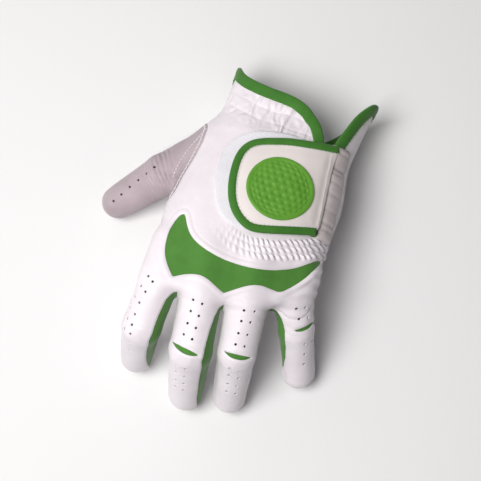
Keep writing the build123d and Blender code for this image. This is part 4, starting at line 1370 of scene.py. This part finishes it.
inner_band("back_elastic_band", [(-7, -1.5), (4, -3.2), (16, -0.5), (28, 4.5)], 4.5, "back_elastic", "elastic")
inner_band("cuff_elastic_band", [(-22, 71.5), (-12, 69.0), (-2, 68.0), (8, 67.0)], 4.5, "cuff_elastic", "elastic")
inner_band("palm_elastic_band", [(-25, 51.5), (-12, 48.8), (8, 47.2), (30, 48.8), (37, 51.5)], 5.0, "palm_elastic", "elastic", False)
inner_band("size_label_tape", [(-2, 39.5), (4, 39.5), (10, 39.5), (16, 39.5)], 7.0, "size_label", "label", False, 0.0)


# the index finger has no crescent: its insert is the leather itself
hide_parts("index_flex_insert")

# ================================================================ stage, light and camera
floor_me = bpy.data.meshes.new("floor")
floor_me.from_pydata([(-3, -3, 0), (3, -3, 0), (3, 3, 0), (-3, 3, 0)], [], [(0, 1, 2, 3)])
floor = bpy.data.objects.new("floor", floor_me)
bpy.context.scene.collection.objects.link(floor)
fm = bpy.data.materials.new("floor_paper")
fm.use_nodes = True
fb = next(n for n in fm.node_tree.nodes if n.type == "BSDF_PRINCIPLED")
fb.inputs["Base Color"].default_value = (0.82, 0.82, 0.82, 1)
fb.inputs["Roughness"].default_value = 0.9
floor_me.materials.append(fm)
floor.location.z = -0.0009

world = bpy.data.worlds.new("studio")
bpy.context.scene.world = world
world.use_nodes = True
world.node_tree.nodes["Background"].inputs["Color"].default_value = (1.0, 0.985, 0.985, 1)
# dimmer surroundings on the little finger's side
wt = world.node_tree
way = wt.nodes.new("ShaderNodeTexCoord")
parts = wt.nodes.new("ShaderNodeSeparateXYZ")
dim = wt.nodes.new("ShaderNodeMapRange")
dim.inputs["From Min"].default_value, dim.inputs["From Max"].default_value = -1.0, 1.0
dim.inputs["To Min"].default_value, dim.inputs["To Max"].default_value = 0.38, 0.0
wt.links.new(way.outputs["Generated"], parts.inputs[0])
wt.links.new(parts.outputs["X"], dim.inputs["Value"])
wt.links.new(dim.outputs["Result"], wt.nodes["Background"].inputs["Strength"])


def area(name, loc, target, size, power, colour=(1, 1, 1)):
    light = bpy.data.lights.new(name, "AREA")
    light.energy, light.size, light.color = power, size, colour
    ob = bpy.data.objects.new(name, light)
    bpy.context.scene.collection.objects.link(ob)
    ob.location = loc
    ob.rotation_euler = (Vector(target) - Vector(loc)).to_track_quat("-Z", "Y").to_euler()
    return ob


area("key", (-0.25, -0.21, 0.82), (0, 0, 0.03), 0.46, 7.7, (1.0, 0.985, 0.98))
area("fill", (-0.5, 0.55, 0.6), (0, 0, 0.03), 0.6, 0.5, (1.0, 0.97, 0.98))

el, az, dist = math.radians(80.0), math.radians(18.0), 0.8
target = Vector(mm((0, 0, 30.0)))
back = Vector((math.sin(az) * math.cos(el), -math.cos(az) * math.cos(el), math.sin(el)))
cam_data = bpy.data.cameras.new("camera")
cam_data.sensor_width = 36.0
cam_data.lens = 36.0 * 1531.0 / 481.0
cam = bpy.data.objects.new("camera", cam_data)
bpy.context.scene.collection.objects.link(cam)
cam.location = target + back * dist
right = Vector((math.cos(az), math.sin(az), 0))
up = back.cross(right)
from mathutils import Matrix
cam.rotation_euler = Matrix((right, up, back)).transposed().to_euler()
bpy.context.scene.camera = cam
bpy.context.scene.view_settings.view_transform = "Standard"

bpy.context.view_layer.update()
